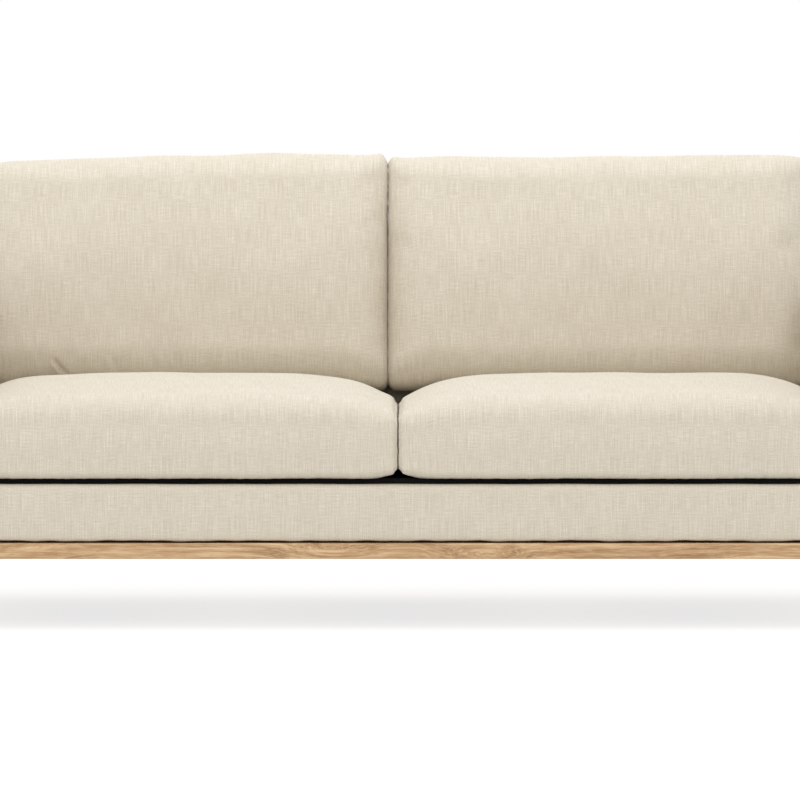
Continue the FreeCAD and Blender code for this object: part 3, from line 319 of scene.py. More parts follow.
def sewn_form(name, ends, shape, end_radius, counts, cells, cap_swell=0.0):
    """A closed padded form from ends[0] to ends[1] along X. shape(distance from the nearer end, x) gives
    the corners, radii and swells of its section there. counts are the cells up the front and along the top."""
    counts = (counts[0], counts[1], counts[0], counts[1])
    angles = np.linspace(0, math.pi / 2, END_RINGS + 1)
    rounding = [(end_radius * (1 - math.cos(a)), end_radius * (1 - math.sin(a))) for a in angles]
    middle = np.linspace(ends[0] + end_radius, ends[1] - end_radius, cells + 1)[1:-1]
    stations = [(ends[0] + step, inset) for step, inset in rounding]
    stations += [(x, 0.0) for x in middle]
    stations += [(ends[1] - step, inset) for step, inset in reversed(rounding)]

    mesh = bmesh.new()
    uv_layer = mesh.loops.layers.uv.new(CLOTH_MAP)
    ring_gap = mesh.verts.layers.float.new("ring_gap")
    foot_gap = mesh.verts.layers.float.new("foot_gap")
    rings, ring_sides, runs, run = [], [], [], 0.0
    for index, (x, inset) in enumerate(stations):
        nearer = min(x - ends[0], ends[1] - x)
        sides = section(*shape(nearer, x), inset, counts)
        ring_sides.append(sides)
        outline = np.concatenate([side[:-1] for side in sides])
        if index:
            before = stations[index - 1]
            run += math.hypot(x - before[0], inset - before[1])
        runs.append(run)
        rings.append([mesh.verts.new((x, y, z)) for y, z in outline])
    loop = np.concatenate([side[:-1] for side in ring_sides[len(stations) // 2]])
    loop = np.concatenate([loop, loop[:1]])
    lengths = np.concatenate([[0], np.cumsum(np.linalg.norm(np.diff(loop, axis=0), axis=1))])
    seam_at = (runs[END_RINGS // 2], runs[-1] - runs[END_RINGS // 2])
    around = len(rings[0])
    for ring, along in zip(rings, runs):
        for k, vertex in enumerate(ring):
            vertex[ring_gap] = min(abs(along - seam) for seam in seam_at)
            vertex[foot_gap] = min(lengths[k], lengths[-1] - lengths[k])
    for i in range(len(rings) - 1):
        for k in range(around):
            after = (k + 1) % around
            face = mesh.faces.new((rings[i][k], rings[i][after], rings[i + 1][after], rings[i + 1][k]))
            places = ((runs[i], lengths[k]), (runs[i], lengths[k + 1]),
                      (runs[i + 1], lengths[k + 1]), (runs[i + 1], lengths[k]))
            for corner, place in zip(face.loops, places):
                corner[uv_layer].uv = place
    for end, way in ((0, -1), (-1, 1)):
        ring, x, grid = rings[end], ends[end], filled(ring_sides[end])
        rows, columns = grid.shape[:2]
        border = {}
        for k in range(rows):
            border[k, 0] = ring[k]
            border[k, columns - 1] = ring[(rows - 1) + (columns - 1) + (rows - 1 - k)]
        for k in range(columns):
            border[rows - 1, k] = ring[(rows - 1) + k]
            border[0, k] = ring[(-k) % around]
        for r in range(1, rows - 1):
            for c in range(1, columns - 1):
                down, over = r / (rows - 1), c / (columns - 1)
                dome = 16 * down * (1 - down) * over * (1 - over)
                swelled = x + way * cap_swell * min(1.0, CAP_STEEPNESS * dome)
                border[r, c] = mesh.verts.new((swelled, *grid[r, c]))
                border[r, c][ring_gap] = 1.0
                border[r, c][foot_gap] = 1.0
        for r in range(rows - 1):
            for c in range(columns - 1):
                corners = [border[r, c], border[r + 1, c], border[r + 1, c + 1], border[r, c + 1]]
                face = mesh.faces.new(corners)
                for corner in face.loops:
                    corner[uv_layer].uv = (corner.vert.co.y, corner.vert.co.z)
    bmesh.ops.recalc_face_normals(mesh, faces=mesh.faces)
    for face in mesh.faces:
        face.smooth = True
    return finished(name, mesh)


def read(piece):
    """The places and outward directions of a piece's points."""
    count = len(piece.data.vertices)
    places, normals = np.zeros(count * 3), np.zeros(count * 3)
    piece.data.vertices.foreach_get("co", places)
    piece.data.vertices.foreach_get("normal", normals)
    return places.reshape(-1, 3), normals.reshape(-1, 3)


def write(piece, places):
    """Moves a piece's points."""
    piece.data.vertices.foreach_set("co", np.ascontiguousarray(places, float).ravel())
    piece.data.update()


def layer(piece, name):
    """One stored value for each point of a piece."""
    values = np.zeros(len(piece.data.vertices))
    piece.data.attributes[name].data.foreach_get("value", values)
    return values


def baked(piece):
    """Turns a piece with modifiers into a plain mesh."""
    evaluated = piece.evaluated_get(bpy.context.evaluated_depsgraph_get())
    made = bpy.data.meshes.new_from_object(evaluated)
    piece.modifiers.clear()
    old, piece.data = piece.data, made
    bpy.data.meshes.remove(old)
    return piece


def subdivided(piece):
    """Divides every cell in four and rounds the result."""
    smooth = piece.modifiers.new("smooth", "SUBSURF")
    smooth.levels = smooth.render_levels = 1
    smooth.uv_smooth = "PRESERVE_BOUNDARIES"
    return baked(piece)


# %% [markdown]
# ## Filling the cushions
# A cushion's cover is sewn a little too small for its filling, so the cloth is in tension and the seams
# pucker. A cloth simulation does this honestly: the sewn form is pumped up with air while the threads next to
# the seams are a few percent too short. Twenty frames are enough. No point may move further than a set
# limit, so the cushion can't outgrow its place, and the result is kept as a plain mesh.

# %% Pumping up a sewn form
FRAMES = 20
SEAM_SHRINK = 0.05
SEAM_REACH = 14 * MM


def pumped(piece, cap, pressure=4.0):
    """Fills a form with air, lets no point move further than the cap, and says how far they moved."""
    seams = piece.vertex_groups.new(name="seams")
    gaps = np.minimum(layer(piece, "ring_gap"), layer(piece, "foot_gap"))
    for index, gap in enumerate(gaps):
        if gap < SEAM_REACH:
            seams.add([index], 1.0 - gap / SEAM_REACH, "REPLACE")
    before, _ = read(piece)
    cloth = piece.modifiers.new("filling", "CLOTH")
    settings = cloth.settings
    settings.quality, settings.mass = 5, 0.3
    settings.tension_stiffness = settings.compression_stiffness = 18
    settings.shear_stiffness, settings.bending_stiffness = 8, 0.6
    settings.use_pressure, settings.uniform_pressure_force = True, pressure
    settings.effector_weights.gravity = 0
    settings.vertex_group_shrink, settings.shrink_min, settings.shrink_max = "seams", 0.0, SEAM_SHRINK
    cloth.collision_settings.use_collision = False
    cloth.point_cache.frame_start, cloth.point_cache.frame_end = 1, FRAMES
    for frame_number in range(1, FRAMES + 1):
        scene.frame_set(frame_number)
    evaluated = piece.evaluated_get(bpy.context.evaluated_depsgraph_get())
    after = np.zeros(len(before) * 3)
    evaluated.data.vertices.foreach_get("co", after)
    piece.modifiers.clear()
    piece.vertex_groups.clear()
    scene.frame_set(1)
    moved = after.reshape(-1, 3) - before
    lengths = np.linalg.norm(moved, axis=1)[:, None]
    moved *= cap * np.tanh(lengths / cap) / np.maximum(lengths, 1e-9)
    write(piece, before + moved)
    lengths = np.linalg.norm(moved, axis=1) / MM
    print("%s: filled, moved %.1f mm on average, %.1f mm at most" % (piece.name, lengths.mean(), lengths.max()))


# %% [markdown]
# ## Seams and creases
# A seam is where two panels turn inwards and are stitched. From outside it is a thin groove, and the cloth
# beside it gathers in small puckers as wide as a few stitches. A crease is a longer fold where slack cloth
# lies over. Both are pressed into the finished mesh here, so that they are real shape and not only shading.

# %% Pressing in seams and creases
GROOVE_DEPTH, GROOVE_WIDTH = 2.2 * MM, 4.0 * MM
PUCKER_DEPTH, PUCKER_REACH = 0.9 * MM, 22 * MM
PUCKER_LENGTHS = (17 * MM, 26 * MM, 41 * MM)


def waves(along, lengths, seed):
    """A wavy line that doesn't repeat: a few sines of different lengths, shifted by the seed."""
    shifts = np.random.default_rng(seed).uniform(0, math.tau, len(lengths))
    return sum(np.sin(along * math.tau / w + s) for w, s in zip(lengths, shifts)) / len(lengths)


def stitched(piece, seed, groove=GROOVE_DEPTH, pucker=PUCKER_DEPTH, foot=True):
    """Grooves along the seams, with puckers that fade out beside them."""
    places, normals = read(piece)
    ring, along_foot = layer(piece, "ring_gap"), layer(piece, "foot_gap")
    along_ring = places[:, 1] + places[:, 2]
    push = -groove * np.exp(-((ring / GROOVE_WIDTH) ** 2))
    push += pucker * np.exp(-ring / PUCKER_REACH) * waves(along_ring, PUCKER_LENGTHS, seed)
    if foot:
        push -= 0.6 * groove * np.exp(-((along_foot / GROOVE_WIDTH) ** 2))
        push += pucker * np.exp(-along_foot / PUCKER_REACH) * waves(places[:, 0], PUCKER_LENGTHS, seed + 1)
    write(piece, places + normals * push[:, None])


def creased(piece, folds):
    """Presses folds into a piece. A fold is two ends, (x, z) from and to, its depth and its half width."""
    places, normals = read(piece)
    push = np.zeros(len(places))
    for start, end, depth, width in folds:
        start, end = np.array(start), np.array(end)
        line = end - start
        offset = places[:, [0, 2]] - start
        share = np.clip(offset @ line / (line @ line), -0.25, 1.25)
        nearest = offset - share[:, None] * line
        gap = np.linalg.norm(nearest, axis=1)
        side = np.sign(offset[:, 0] * line[1] - offset[:, 1] * line[0])
        fade = np.exp(-(((share - 0.5) / 0.55) ** 4))
        push += fade * depth * (0.7 * np.exp(-(((gap - 1.6 * width) / width) ** 2)) * (side > 0)
                                - np.exp(-((gap / width) ** 2)))
    facing = np.clip(-normals[:, 1], 0, 1)
    write(piece, places + normals * (push * facing)[:, None])


def uneven(piece, depth, size, seed):
    """Slow hills and dips in the surface, as any hand-filled form has."""
    places, normals = read(piece)
    shifts = np.random.default_rng(seed).uniform(0, math.tau, (3, 3))
    hills = np.zeros(len(places))
    for k, share in enumerate((1.0, 0.6, 0.4)):
        step = math.tau / (size * share)
        hills += share * np.sin(places[:, 0] * step + shifts[k, 0]) * np.cos(
            (places[:, 1] + places[:, 2]) * step * 0.8 + shifts[k, 1])
    write(piece, places + normals * (depth / 2 * hills)[:, None])


def belongs(piece, body, slot_name, *replaced, finish=None, fill=None):
    """Gives a piece its body and, if asked, its material, and hides the solids it stands for. Its slot and
    filling are not used.
    """
    if finish:
        piece.data.materials.clear()
        piece.data.materials.append(finish)
    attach(piece, body)
    if replaced:
        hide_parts(*replaced)
    return piece


print("ready to sew")

# %% [markdown]
# ## The loose seat cushions
# Each seat cushion is a block of foam with a thin wrap of fibre. One panel runs up its front, over the top and
# down its back, so the front edge is a soft roll without a seam. The crown is highest in the middle of the
# seat and falls away in the last 25 cm to the borders, where the two cushions meet in a soft notch. The
# profile function gives the section's corners at any distance from the border, so the crown is built in
# before the air is pumped in. The form starts a few millimetres small, because pumping makes it grow.

# %% Seat cushions
CELL = 10 * MM
SEAT_GROWTH = 4 * MM
SEAT_CROWN_RUN, SEAT_CROWN_POWER = 0.25, 2.9
SEAT_ROLL, SEAT_FOOT_ROLL, SEAT_END_RADIUS = 46 * MM, 14 * MM, 13 * MM
SEAT_MIDDLE_CROWN = 27 * MM
SEAT_BORDER_DROP = 50 * MM
SEAT_FOOT_LIFT, SEAT_FOOT_RUN = 9 * MM, 0.10


def seat_shape(low, high):
    """The section of a seat cushion between its lowest and highest corner, from border to middle."""
    front, rear, foot, top = low.y + SEAT_GROWTH, high.y - SEAT_GROWTH, low.z + 1 * MM, high.z - SEAT_GROWTH

    def shape(gap, x):
        rise = 1 - (1 - min(gap / SEAT_CROWN_RUN, 1.0)) ** SEAT_CROWN_POWER
        shoulder = top - SEAT_MIDDLE_CROWN - (SEAT_BORDER_DROP - SEAT_MIDDLE_CROWN * 0.6) * (1 - rise)
        crown = SEAT_MIDDLE_CROWN * (0.4 + 0.6 * rise)
        low_edge = foot + SEAT_FOOT_LIFT * (1 - min(gap / SEAT_FOOT_RUN, 1.0)) ** 2.4
        corners = ((front, low_edge), (front, shoulder), (rear, shoulder), (rear, low_edge))
        radii = (SEAT_FOOT_ROLL, SEAT_ROLL * (0.55 + 0.45 * rise), SEAT_ROLL, SEAT_FOOT_ROLL)
        return corners, radii, (5 * MM * rise, crown, 2 * MM, 0.0)

    return shape


cushions = {}
for word in ("left", "right"):
    name = f"seat_cushion_{word}"
    low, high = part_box(f"{name}_cover")
    deep, tall = high.y - low.y, high.z - low.z
    counts = (round(0.85 * tall / CELL), round(deep / CELL))
    ends = (low.x + SEAT_GROWTH / 2, high.x - SEAT_GROWTH / 2)
    cells = round((high.x - low.x) / CELL)
    piece = sewn_form(f"{name}_pad", ends, seat_shape(low, high), SEAT_END_RADIUS, counts, cells, 3 * MM)
    cushions[name] = piece
    print(name, len(piece.data.polygons), "cells, %.0f x %.0f x %.0f mm" % tuple(
        1000 * side for side in (high.x - low.x, deep, tall)))

# %% [markdown]
# ## The loose back cushions
# The back cushions are filled with fibre, so they are softer than the seats. Their front panel bulges, runs
# over the top in a wide roll and rolls over the sides too, so its edges darken gently towards the gap
# between the two cushions. They lean back ten degrees with the sofa's back. The section is worked out
# upright, in the back's own directions, and then turned about the rear foot of the back.

# %% Back cushions
BACK_GROWTH = 4 * MM
BACK_LEAN = math.radians(10)
BACK_BORDER_SHARE = 0.72
BACK_ROLL_RUN, BACK_ROLL_POWER = 0.085, 2.4
BACK_TOP_ROLL, BACK_FOOT_ROLL, BACK_BELLY, BACK_END_RADIUS = 56 * MM, 76 * MM, 15 * MM, 16 * MM
BACK_SET_IN = 5 * MM
REAR_FOOT = (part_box("rear_base_rail")[1].y - BACK_SET_IN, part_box("front_rail_cover")[0].z)


def leaning(y, z):
    """A point of the back, given out from its rear face and up along it, in the sofa's directions."""
    pivot_y, pivot_z = REAR_FOOT
    return (pivot_y + y * math.cos(BACK_LEAN) + z * math.sin(BACK_LEAN),
            pivot_z - y * math.sin(BACK_LEAN) + z * math.cos(BACK_LEAN))


def upright(y, z):
    """The way back: a point in the sofa's directions, given out from the back's rear face and up along it."""
    pivot_y, pivot_z = REAR_FOOT
    y, z = y - pivot_y, z - pivot_z
    return (y * math.cos(BACK_LEAN) - z * math.sin(BACK_LEAN),
            y * math.sin(BACK_LEAN) + z * math.cos(BACK_LEAN))


def upright_box(node):
    """The lowest and highest corner of a node in the back's own directions."""
    points = np.array([v.co for v in nodes[node].data.vertices])
    turned = np.array([upright(y, z) for y, z in points[:, 1:]])
    return (points[:, 0].min(), *turned.min(0)), (points[:, 0].max(), *turned.max(0))


def leaned(sides_shape):
    """A section that was worked out upright, leaned back."""
    def shape(gap, x):
        corners, radii, swells = sides_shape(gap, x)
        return [leaning(y, z) for y, z in corners], radii, swells
    return shape


def back_cushion_shape(low, high):
    """The section of a back cushion, upright, between its lowest and highest corner."""
    front, rear = low[1] + BACK_GROWTH, high[1] - 1 * MM
    foot, top = low[2] + BACK_GROWTH, high[2] - 1 * MM
    seam = rear - BACK_BORDER_SHARE * (rear - front)

    def shape(gap, x):
        rise = 1 - (1 - min(gap / BACK_ROLL_RUN, 1.0)) ** BACK_ROLL_POWER
        face = seam + (front - seam) * rise
        corners = ((face, foot + 6 * MM * (1 - rise)), (face, top + 9 * MM - 5 * MM * (1 - rise)),
                   (rear, top - 16 * MM), (rear, foot + 4 * MM))
        radii = (BACK_FOOT_ROLL * (0.5 + 0.5 * rise), BACK_TOP_ROLL * (0.6 + 0.4 * rise), 34 * MM, 16 * MM)
        return corners, radii, (BACK_BELLY * rise, 4 * MM, 0.0, 3 * MM)

    return shape


for word in ("left", "right"):
    name = f"back_cushion_{word}"
    low, high = upright_box(f"{name}_cover")
    deep, tall = high[1] - low[1], high[2] - low[2]
    counts = (round(tall / CELL), round(0.9 * deep / CELL))
    ends, cells = (low[0] + 1 * MM, high[0] - 1 * MM), round((high[0] - low[0]) / CELL)
    shape = leaned(back_cushion_shape(low, high))
    piece = sewn_form(f"{name}_pad", ends, shape, BACK_END_RADIUS, counts, cells, 2 * MM)
    cushions[name] = piece
    print(name, len(piece.data.polygons), "cells, %.0f x %.0f x %.0f mm" % (
        1000 * (high[0] - low[0]), 1000 * deep, 1000 * tall))

# %% [markdown]
# ## Settling in
# A pumped cushion is brought to the size of its place. Its filling has shifted a little, so the surface gets
# slow hills and its upper edge rises and falls. Then it is pressed flat where it touches a neighbour or the
# deck, and last come the grooves of its seams and its creases.

# %% Pump, settle and sew the cushions
LOOSE_FILL, TIGHT_FILL = 0.7, 0.95
SEAT_CAP, BACK_CAP, SEAT_FLATTENED = 7 * MM, 9 * MM, 6 * MM
SEAT_PRESSED, BACK_PRESSED = 4 * MM, 9 * MM
CONTACT_GAP, CORNER_DROP, CORNER_WIDTH = 0.3 * MM, -9.0 * MM, 8 * MM


def settled(piece, low, high, lean=False):
    """Stretches a pumped form by a few millimetres so that it just fills its place between two corners."""
    places, _ = read(piece)
    if lean:
        places[:, 1:] = [upright(y, z) for y, z in places[:, 1:]]
    least, most = places.min(0), places.max(0)
    places = np.array(low) + (places - least) / (most - least) * (np.array(high) - np.array(low))
    if lean:
        places[:, 1:] = [leaning(y, z) for y, z in places[:, 1:]]
    write(piece, places)
    print("%s: settled by %s mm" % (piece.name, np.round(1000 * (np.array(high) - low - most + least), 1)))


# Place along the sofa, width and rise of each lump. A fold has two ends (x, z), a depth and a half width.
SEAT_LUMPS = (
    (-0.012, 0.016, 6 * MM), (-0.150, 0.060, -3 * MM), (-0.640, 0.060, -2.5 * MM), (0.20, 0.08, -1.5 * MM))
BACK_LUMPS = (
    (-0.823, 0.22, -13.0 * MM), (-0.823, 0.05, -6.0 * MM), (-0.240, 0.10, 5.5 * MM), (-0.026, 0.024, 9.0 * MM),
    (0.02, 0.06, -4.0 * MM), (0.19, 0.12, -3.5 * MM), (0.40, 0.10, -1.5 * MM),
)
LEFT_BACK_FOLDS = (
    ((-0.668, 0.474), (-0.646, 0.444), 10.0 * MM, 4.5 * MM),
    ((-0.556, 0.478), (-0.545, 0.455), 2.5 * MM, 6 * MM),
    ((-0.482, 0.486), (-0.474, 0.452), 2.0 * MM, 7 * MM), ((-0.428, 0.474), (-0.420, 0.450), 2.0 * MM, 6 * MM),
    ((-0.378, 0.484), (-0.372, 0.450), 2.5 * MM, 7 * MM), ((-0.236, 0.480), (-0.230, 0.452), 2.0 * MM, 8 * MM),
)
backs_meet = (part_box("back_cushion_left_cover")[1].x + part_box("back_cushion_right_cover")[0].x) / 2
BACK_LUMPS += ((backs_meet, CORNER_WIDTH, CORNER_DROP),)


def lifted(piece, lumps, foot, top):
    """Raises or lowers the upper part of a cushion here and there, as its filling has shifted."""
    places, _ = read(piece)
    share = np.clip((places[:, 2] - foot) / (top - foot), 0, 1) ** 2
    change = sum(rise * np.exp(-(((places[:, 0] - x) / width) ** 2)) for x, width, rise in lumps)
    places[:, 2] += share * change
    write(piece, places)


def pressed(piece, ends, level=None):
    """Flattens a cushion where it is pressed against its neighbours and where it lies on the deck."""
    places, _ = read(piece)
    places[:, 0] = np.clip(places[:, 0], *ends)
    if level is not None:
        places[:, 2] = np.maximum(places[:, 2], level)
    write(piece, places)


for word in ("left", "right"):
    seat, back = cushions[f"seat_cushion_{word}"], cushions[f"back_cushion_{word}"]
    pumped(seat, SEAT_CAP)
    pumped(back, BACK_CAP)
    subdivided(seat)
    subdivided(back)
    left = word == "left"
    low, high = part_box(f"seat_cushion_{word}_cover")
    settled(seat, low - Vector((SEAT_PRESSED, 0, SEAT_FLATTENED)), high + Vector((SEAT_PRESSED, 0, -2 * MM)))
    uneven(seat, 1.6 * MM, 0.34, 11 if left else 12)
    lifted(seat, SEAT_LUMPS, low.z, high.z)
    pressed(seat, (low.x, high.x), low.z + 0.3 * MM)
    low, high = (Vector(corner) for corner in upright_box(f"back_cushion_{word}_cover"))
    settled(back, low - Vector((BACK_PRESSED, 0, 0)), high + Vector((BACK_PRESSED, 0, 0)), lean=True)
    uneven(back, 3.0 * MM, 0.42, 21 if left else 22)
    low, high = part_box(f"back_cushion_{word}_cover")
    lifted(back, BACK_LUMPS, low.z, high.z)
    pressed(back, (low.x, backs_meet - CONTACT_GAP) if left else (backs_meet + CONTACT_GAP, high.x))
    stitched(seat, 31 if left else 33)
    stitched(back, 41 if left else 43, groove=1.2 * MM, foot=False)
    if left:
        creased(back, LEFT_BACK_FOLDS)
    for piece, body in ((seat, f"seat_cushion_{word}"), (back, f"back_cushion_{word}")):
        belongs(piece, body, "linen_weave", f"{body}_cover", finish=linen, fill=LOOSE_FILL)

# %% [markdown]
# ## Tight upholstery
# The arms, the back and the front rail aren't loose: their covers are stretched over thin foam on a timber
# frame and stapled underneath. So they are straight forms with small soft edges, hardly crowned, and their
# cloth lies smooth. The same sewing function makes them, without air: a little unevenness in the surface and
# puckers along the seams are enough. An arm's section is seen from the side, and its rear edge leans with
# the back.

# %% Arms, back and front rail
TIGHT_CELL, RAIL_CELL, RAIL_LEAN = 14 * MM, 6 * MM, 4 * MM
ARM_EDGE, BACK_EDGE, RAIL_EDGE, FOOT_EDGE = 12 * MM, 13 * MM, 11 * MM, 3 * MM
END_EDGE = 10 * MM


def straight(corners, radii, swells):
    """The same section all the way along."""
    return lambda gap, x: (corners, radii, swells)


for word in ("left", "right"):
    low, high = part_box(f"arm_{word}_cover")
    rear_low = REAR_FOOT[0]
    rear_high = REAR_FOOT[0] + (high.z - low.z) * math.tan(BACK_LEAN)
    corners = ((low.y, low.z), (low.y, high.z), (rear_high, high.z), (rear_low, low.z))
    counts = (round((high.z - low.z) / TIGHT_CELL), round((rear_low - low.y) / TIGHT_CELL))
    shape = straight(corners, (FOOT_EDGE, ARM_EDGE, ARM_EDGE, FOOT_EDGE), (2 * MM, 3 * MM, 2 * MM, 0))
    cells = round((high.x - low.x) / TIGHT_CELL)
    arm = sewn_form(f"arm_{word}_upholstery", (low.x, high.x), shape, END_EDGE, counts, cells, 2 * MM)
    subdivided(arm)
    uneven(arm, 0.8 * MM, 0.30, 51 if word == "left" else 52)
    stitched(arm, 53 if word == "left" else 54, groove=1.6 * MM, pucker=0.5 * MM, foot=False)
    belongs(arm, "frame", "linen_weave", f"arm_{word}_cover", finish=linen, fill=TIGHT_FILL)

low, high = upright_box("back_cover")
corners = [leaning(y[1], z[2]) for y, z in ((low, low), (low, high), (high, high), (high, low))]
counts = (round((high[2] - low[2]) / TIGHT_CELL), round((high[1] - low[1]) / TIGHT_CELL))
shape = straight(corners, (FOOT_EDGE, BACK_EDGE, BACK_EDGE, FOOT_EDGE), (2 * MM, 2 * MM, 2 * MM, 0))
cells = round((high[0] - low[0]) / TIGHT_CELL)
back = sewn_form("back_upholstery", (low[0], high[0]), shape, END_EDGE, counts, cells)
subdivided(back)
uneven(back, 0.8 * MM, 0.35, 55)
stitched(back, 56, groove=1.2 * MM, pucker=0.4 * MM, foot=False)
belongs(back, "frame", "linen_weave", "back_cover", finish=linen, fill=TIGHT_FILL)

low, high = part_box("front_rail_cover")
corners = ((low.y + RAIL_LEAN, low.z), (low.y, high.z), (high.y, high.z), (high.y, low.z))
shape = straight(corners, (FOOT_EDGE, RAIL_EDGE, RAIL_EDGE, FOOT_EDGE), (1.5 * MM, 1 * MM, 0, 0))
counts = (round((high.z - low.z) / RAIL_CELL), round((high.y - low.y) / RAIL_CELL))
cells = round((high.x - low.x) / (2 * RAIL_CELL))
front_rail = sewn_form("front_rail_upholstery", (low.x, high.x), shape, 6 * MM, counts, cells)
subdivided(front_rail)
places, normals = read(front_rail)
hem = np.exp(-np.clip(places[:, 2] - low.z, 0, None) / (5 * MM))
places[:, 2] += 1.2 * MM * hem * (0.5 + waves(places[:, 0], (53 * MM, 97 * MM, 210 * MM), 61))
write(front_rail, places)
uneven(front_rail, 0.7 * MM, 0.26, 62)
belongs(front_rail, "frame", "linen_weave", "front_rail_cover", finish=linen, fill=TIGHT_FILL)
print("tight pieces:", [len(o.data.polygons) for o in (arm, back, front_rail)], "cells")

# %% [markdown]
# ## What is inside
# The foam and fibre inside the cushions and behind the rail's cover are pieces of their own. They are never
# seen while the covers are on, so each is the cover's plain sewn form again, taken in by a few millimetres on
# every side and made of larger cells. The foam of the arms and the back is a copy of its solid instead, with
# every face moved inwards. They move with their bodies, and get their own materials below.

# %% Fillings
CORE_CELL, CORE_INSET, RAIL_CORE_INSET = 30 * MM, {"seat": 15 * MM, "back": 24 * MM}, 5 * MM
FOAM_THINNED = 4 * MM
cores = {}


def taken_in(low, high, inset):
    """A box made smaller on every side."""
    return Vector([c + inset for c in low]), Vector([c - inset for c in high])


for word in ("left", "right"):
    for kind, filling, finish_name in (("seat", "foam", "cushion_foam"), ("back", "filling", "fibre_filling")):
        body = f"{kind}_cushion_{word}"
        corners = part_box(f"{body}_cover") if kind == "seat" else upright_box(f"{body}_cover")
        low, high = taken_in(*corners, CORE_INSET[kind])
        shape = seat_shape(low, high) if kind == "seat" else leaned(back_cushion_shape(low, high))
        tall, deep = high[2] - low[2], high[1] - low[1]
        counts = (round(tall / CORE_CELL), round(deep / CORE_CELL))
        cells = round((high[0] - low[0]) / CORE_CELL)
        core = sewn_form(f"{body}_{filling}_core", (low[0], high[0]), shape, SEAT_END_RADIUS, counts, cells)
        subdivided(core)
        cores[body] = (core, finish_name, f"{body}_{filling}")
low, high = taken_in(*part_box("front_rail_foam"), RAIL_CORE_INSET)
corners = ((low.y + RAIL_LEAN, low.z), (low.y + 1 * MM, high.z), (high.y, high.z), (high.y, low.z))
shape = straight(corners, (4 * MM,) * 4, (0,) * 4)
rail_core = sewn_form("front_rail_foam_core", (low.x, high.x), shape, 4 * MM, (6, 3), 40)


def thinned(node, by):
    """A copy of a foam solid with every face moved inwards, so that it stays under its rounded cover."""
    form = bmesh.new()
    form.from_mesh(nodes[node].data)
    bmesh.ops.remove_doubles(form, verts=form.verts, dist=1e-5)
    form.normal_update()
    shifts = []
    for vertex in form.verts:
        facing = np.array([face.normal for face in vertex.link_faces])
        shifts.append(np.linalg.lstsq(facing, np.ones(len(facing)), rcond=1e-2)[0])
    for vertex, shift in zip(form.verts, shifts):
        vertex.co -= by * Vector(shift)
    return finished(f"{node}_core", form)


thin_cores = {node: thinned(node, FOAM_THINNED) for node in ("arm_left_foam", "arm_right_foam", "back_foam")}
print("fillings:", len(cores) + 1 + len(thin_cores))

# %% [markdown]
# ## Oak, pine and beech
# The base boards and the turned legs are solid European oak under a clear matt lacquer. Oak shows three
# things: growth rings as long pale and brown bands, pores as short dark scratches along the grain, and here
# and there a knot that the bands swerve round. The bands are noise drawn out along the board, bent by a
# slow second noise. Real pores are 0.3 mm wide, and they are drawn 0.9 mm wide so that they show. Each board is
# cut with its grain along its length, so the same recipe is made three times, once for each direction.

# %% Wood recipe
AXES = {"x": 0, "y": 1, "z": 2}
KNOTS = ((-0.125, -0.44, 0.148, 0.030), (0.165, -0.44, 0.136, 0.024))


def wood(name, along, dark, base, pale, ring=9 * MM, draw=0.30, pore=0.9 * MM, pore_depth=0.5, knots=(),
         **shader_values):
    """Sawn wood with its grain along one axis. ring is the width of a growth ring, draw how far it runs."""
    made, tree, shader = material(name, **shader_values)
    dark, base, pale = linear(dark), linear(base), linear(pale)

    def by_axis(run, width):
        """One value along the grain and another across it."""
        return [run if AXES[along] == axis else width for axis in range(3)]

    def drawn(vector, run, width, detail, roughness):
        """Noise drawn out along the grain."""
        stretched = add_node(tree, MAPPING, vector, Scale=[1 / size for size in by_axis(run, width)])
        return add_node(tree, NOISE, stretched, 1.0, detail, roughness)

    place = add_node(tree, "ShaderNodeTexCoord", out="Object")
    swerve = add_node(tree, MATH, drawn(place, 0.28, 0.12, 1.0, 0.5), 4.5 * ring, operation="MULTIPLY")
    for *centre, reach in knots:
        offset = add_node(tree, VECTOR, place, centre, operation="SUBTRACT")
        squeezed = add_node(tree, VECTOR, offset, by_axis(0.45, 1.6), operation="MULTIPLY")
        away = add_node(tree, VECTOR, squeezed, operation="LENGTH")
        falling = add_node(tree, MATH, away, -1 / reach, operation="MULTIPLY")
        near = add_node(tree, MATH, falling, operation="EXPONENT")
        swerve = add_node(tree, MATH, near, 2.6 * ring, swerve, operation="MULTIPLY_ADD")
    bent = add_node(tree, VECTOR, place, add_node(tree, COMBINE, *by_axis(0.0, swerve)), operation="ADD")
    bands, fibres = drawn(bent, draw, ring, 2.0, 0.55), drawn(bent, 38 * MM, 1.8 * MM, 2.0, 0.6)
    pores = drawn(bent, 16 * MM, pore, 1.0, 0.5)
    colour = shaded(tree, bands, (0.34, 0.66), dark, base)
    colour = shaded(tree, bands, (0.52, 0.80), colour, pale)
    colour = shaded(tree, fibres, (0.42, 0.72), colour, pale, 0.6)
    colour = shaded(tree, pores, (0.60, 0.74), colour, dark, pore_depth)
    pit = add_node(tree, RANGE, pores, 0.60, 0.74)
    raised = add_node(tree, MATH, fibres, 0.4, operation="MULTIPLY")
    surfaced(tree, shader, colour, add_node(tree, MATH, raised, pit, operation="SUBTRACT"), 0.25 * MM, 0.6)
    return made


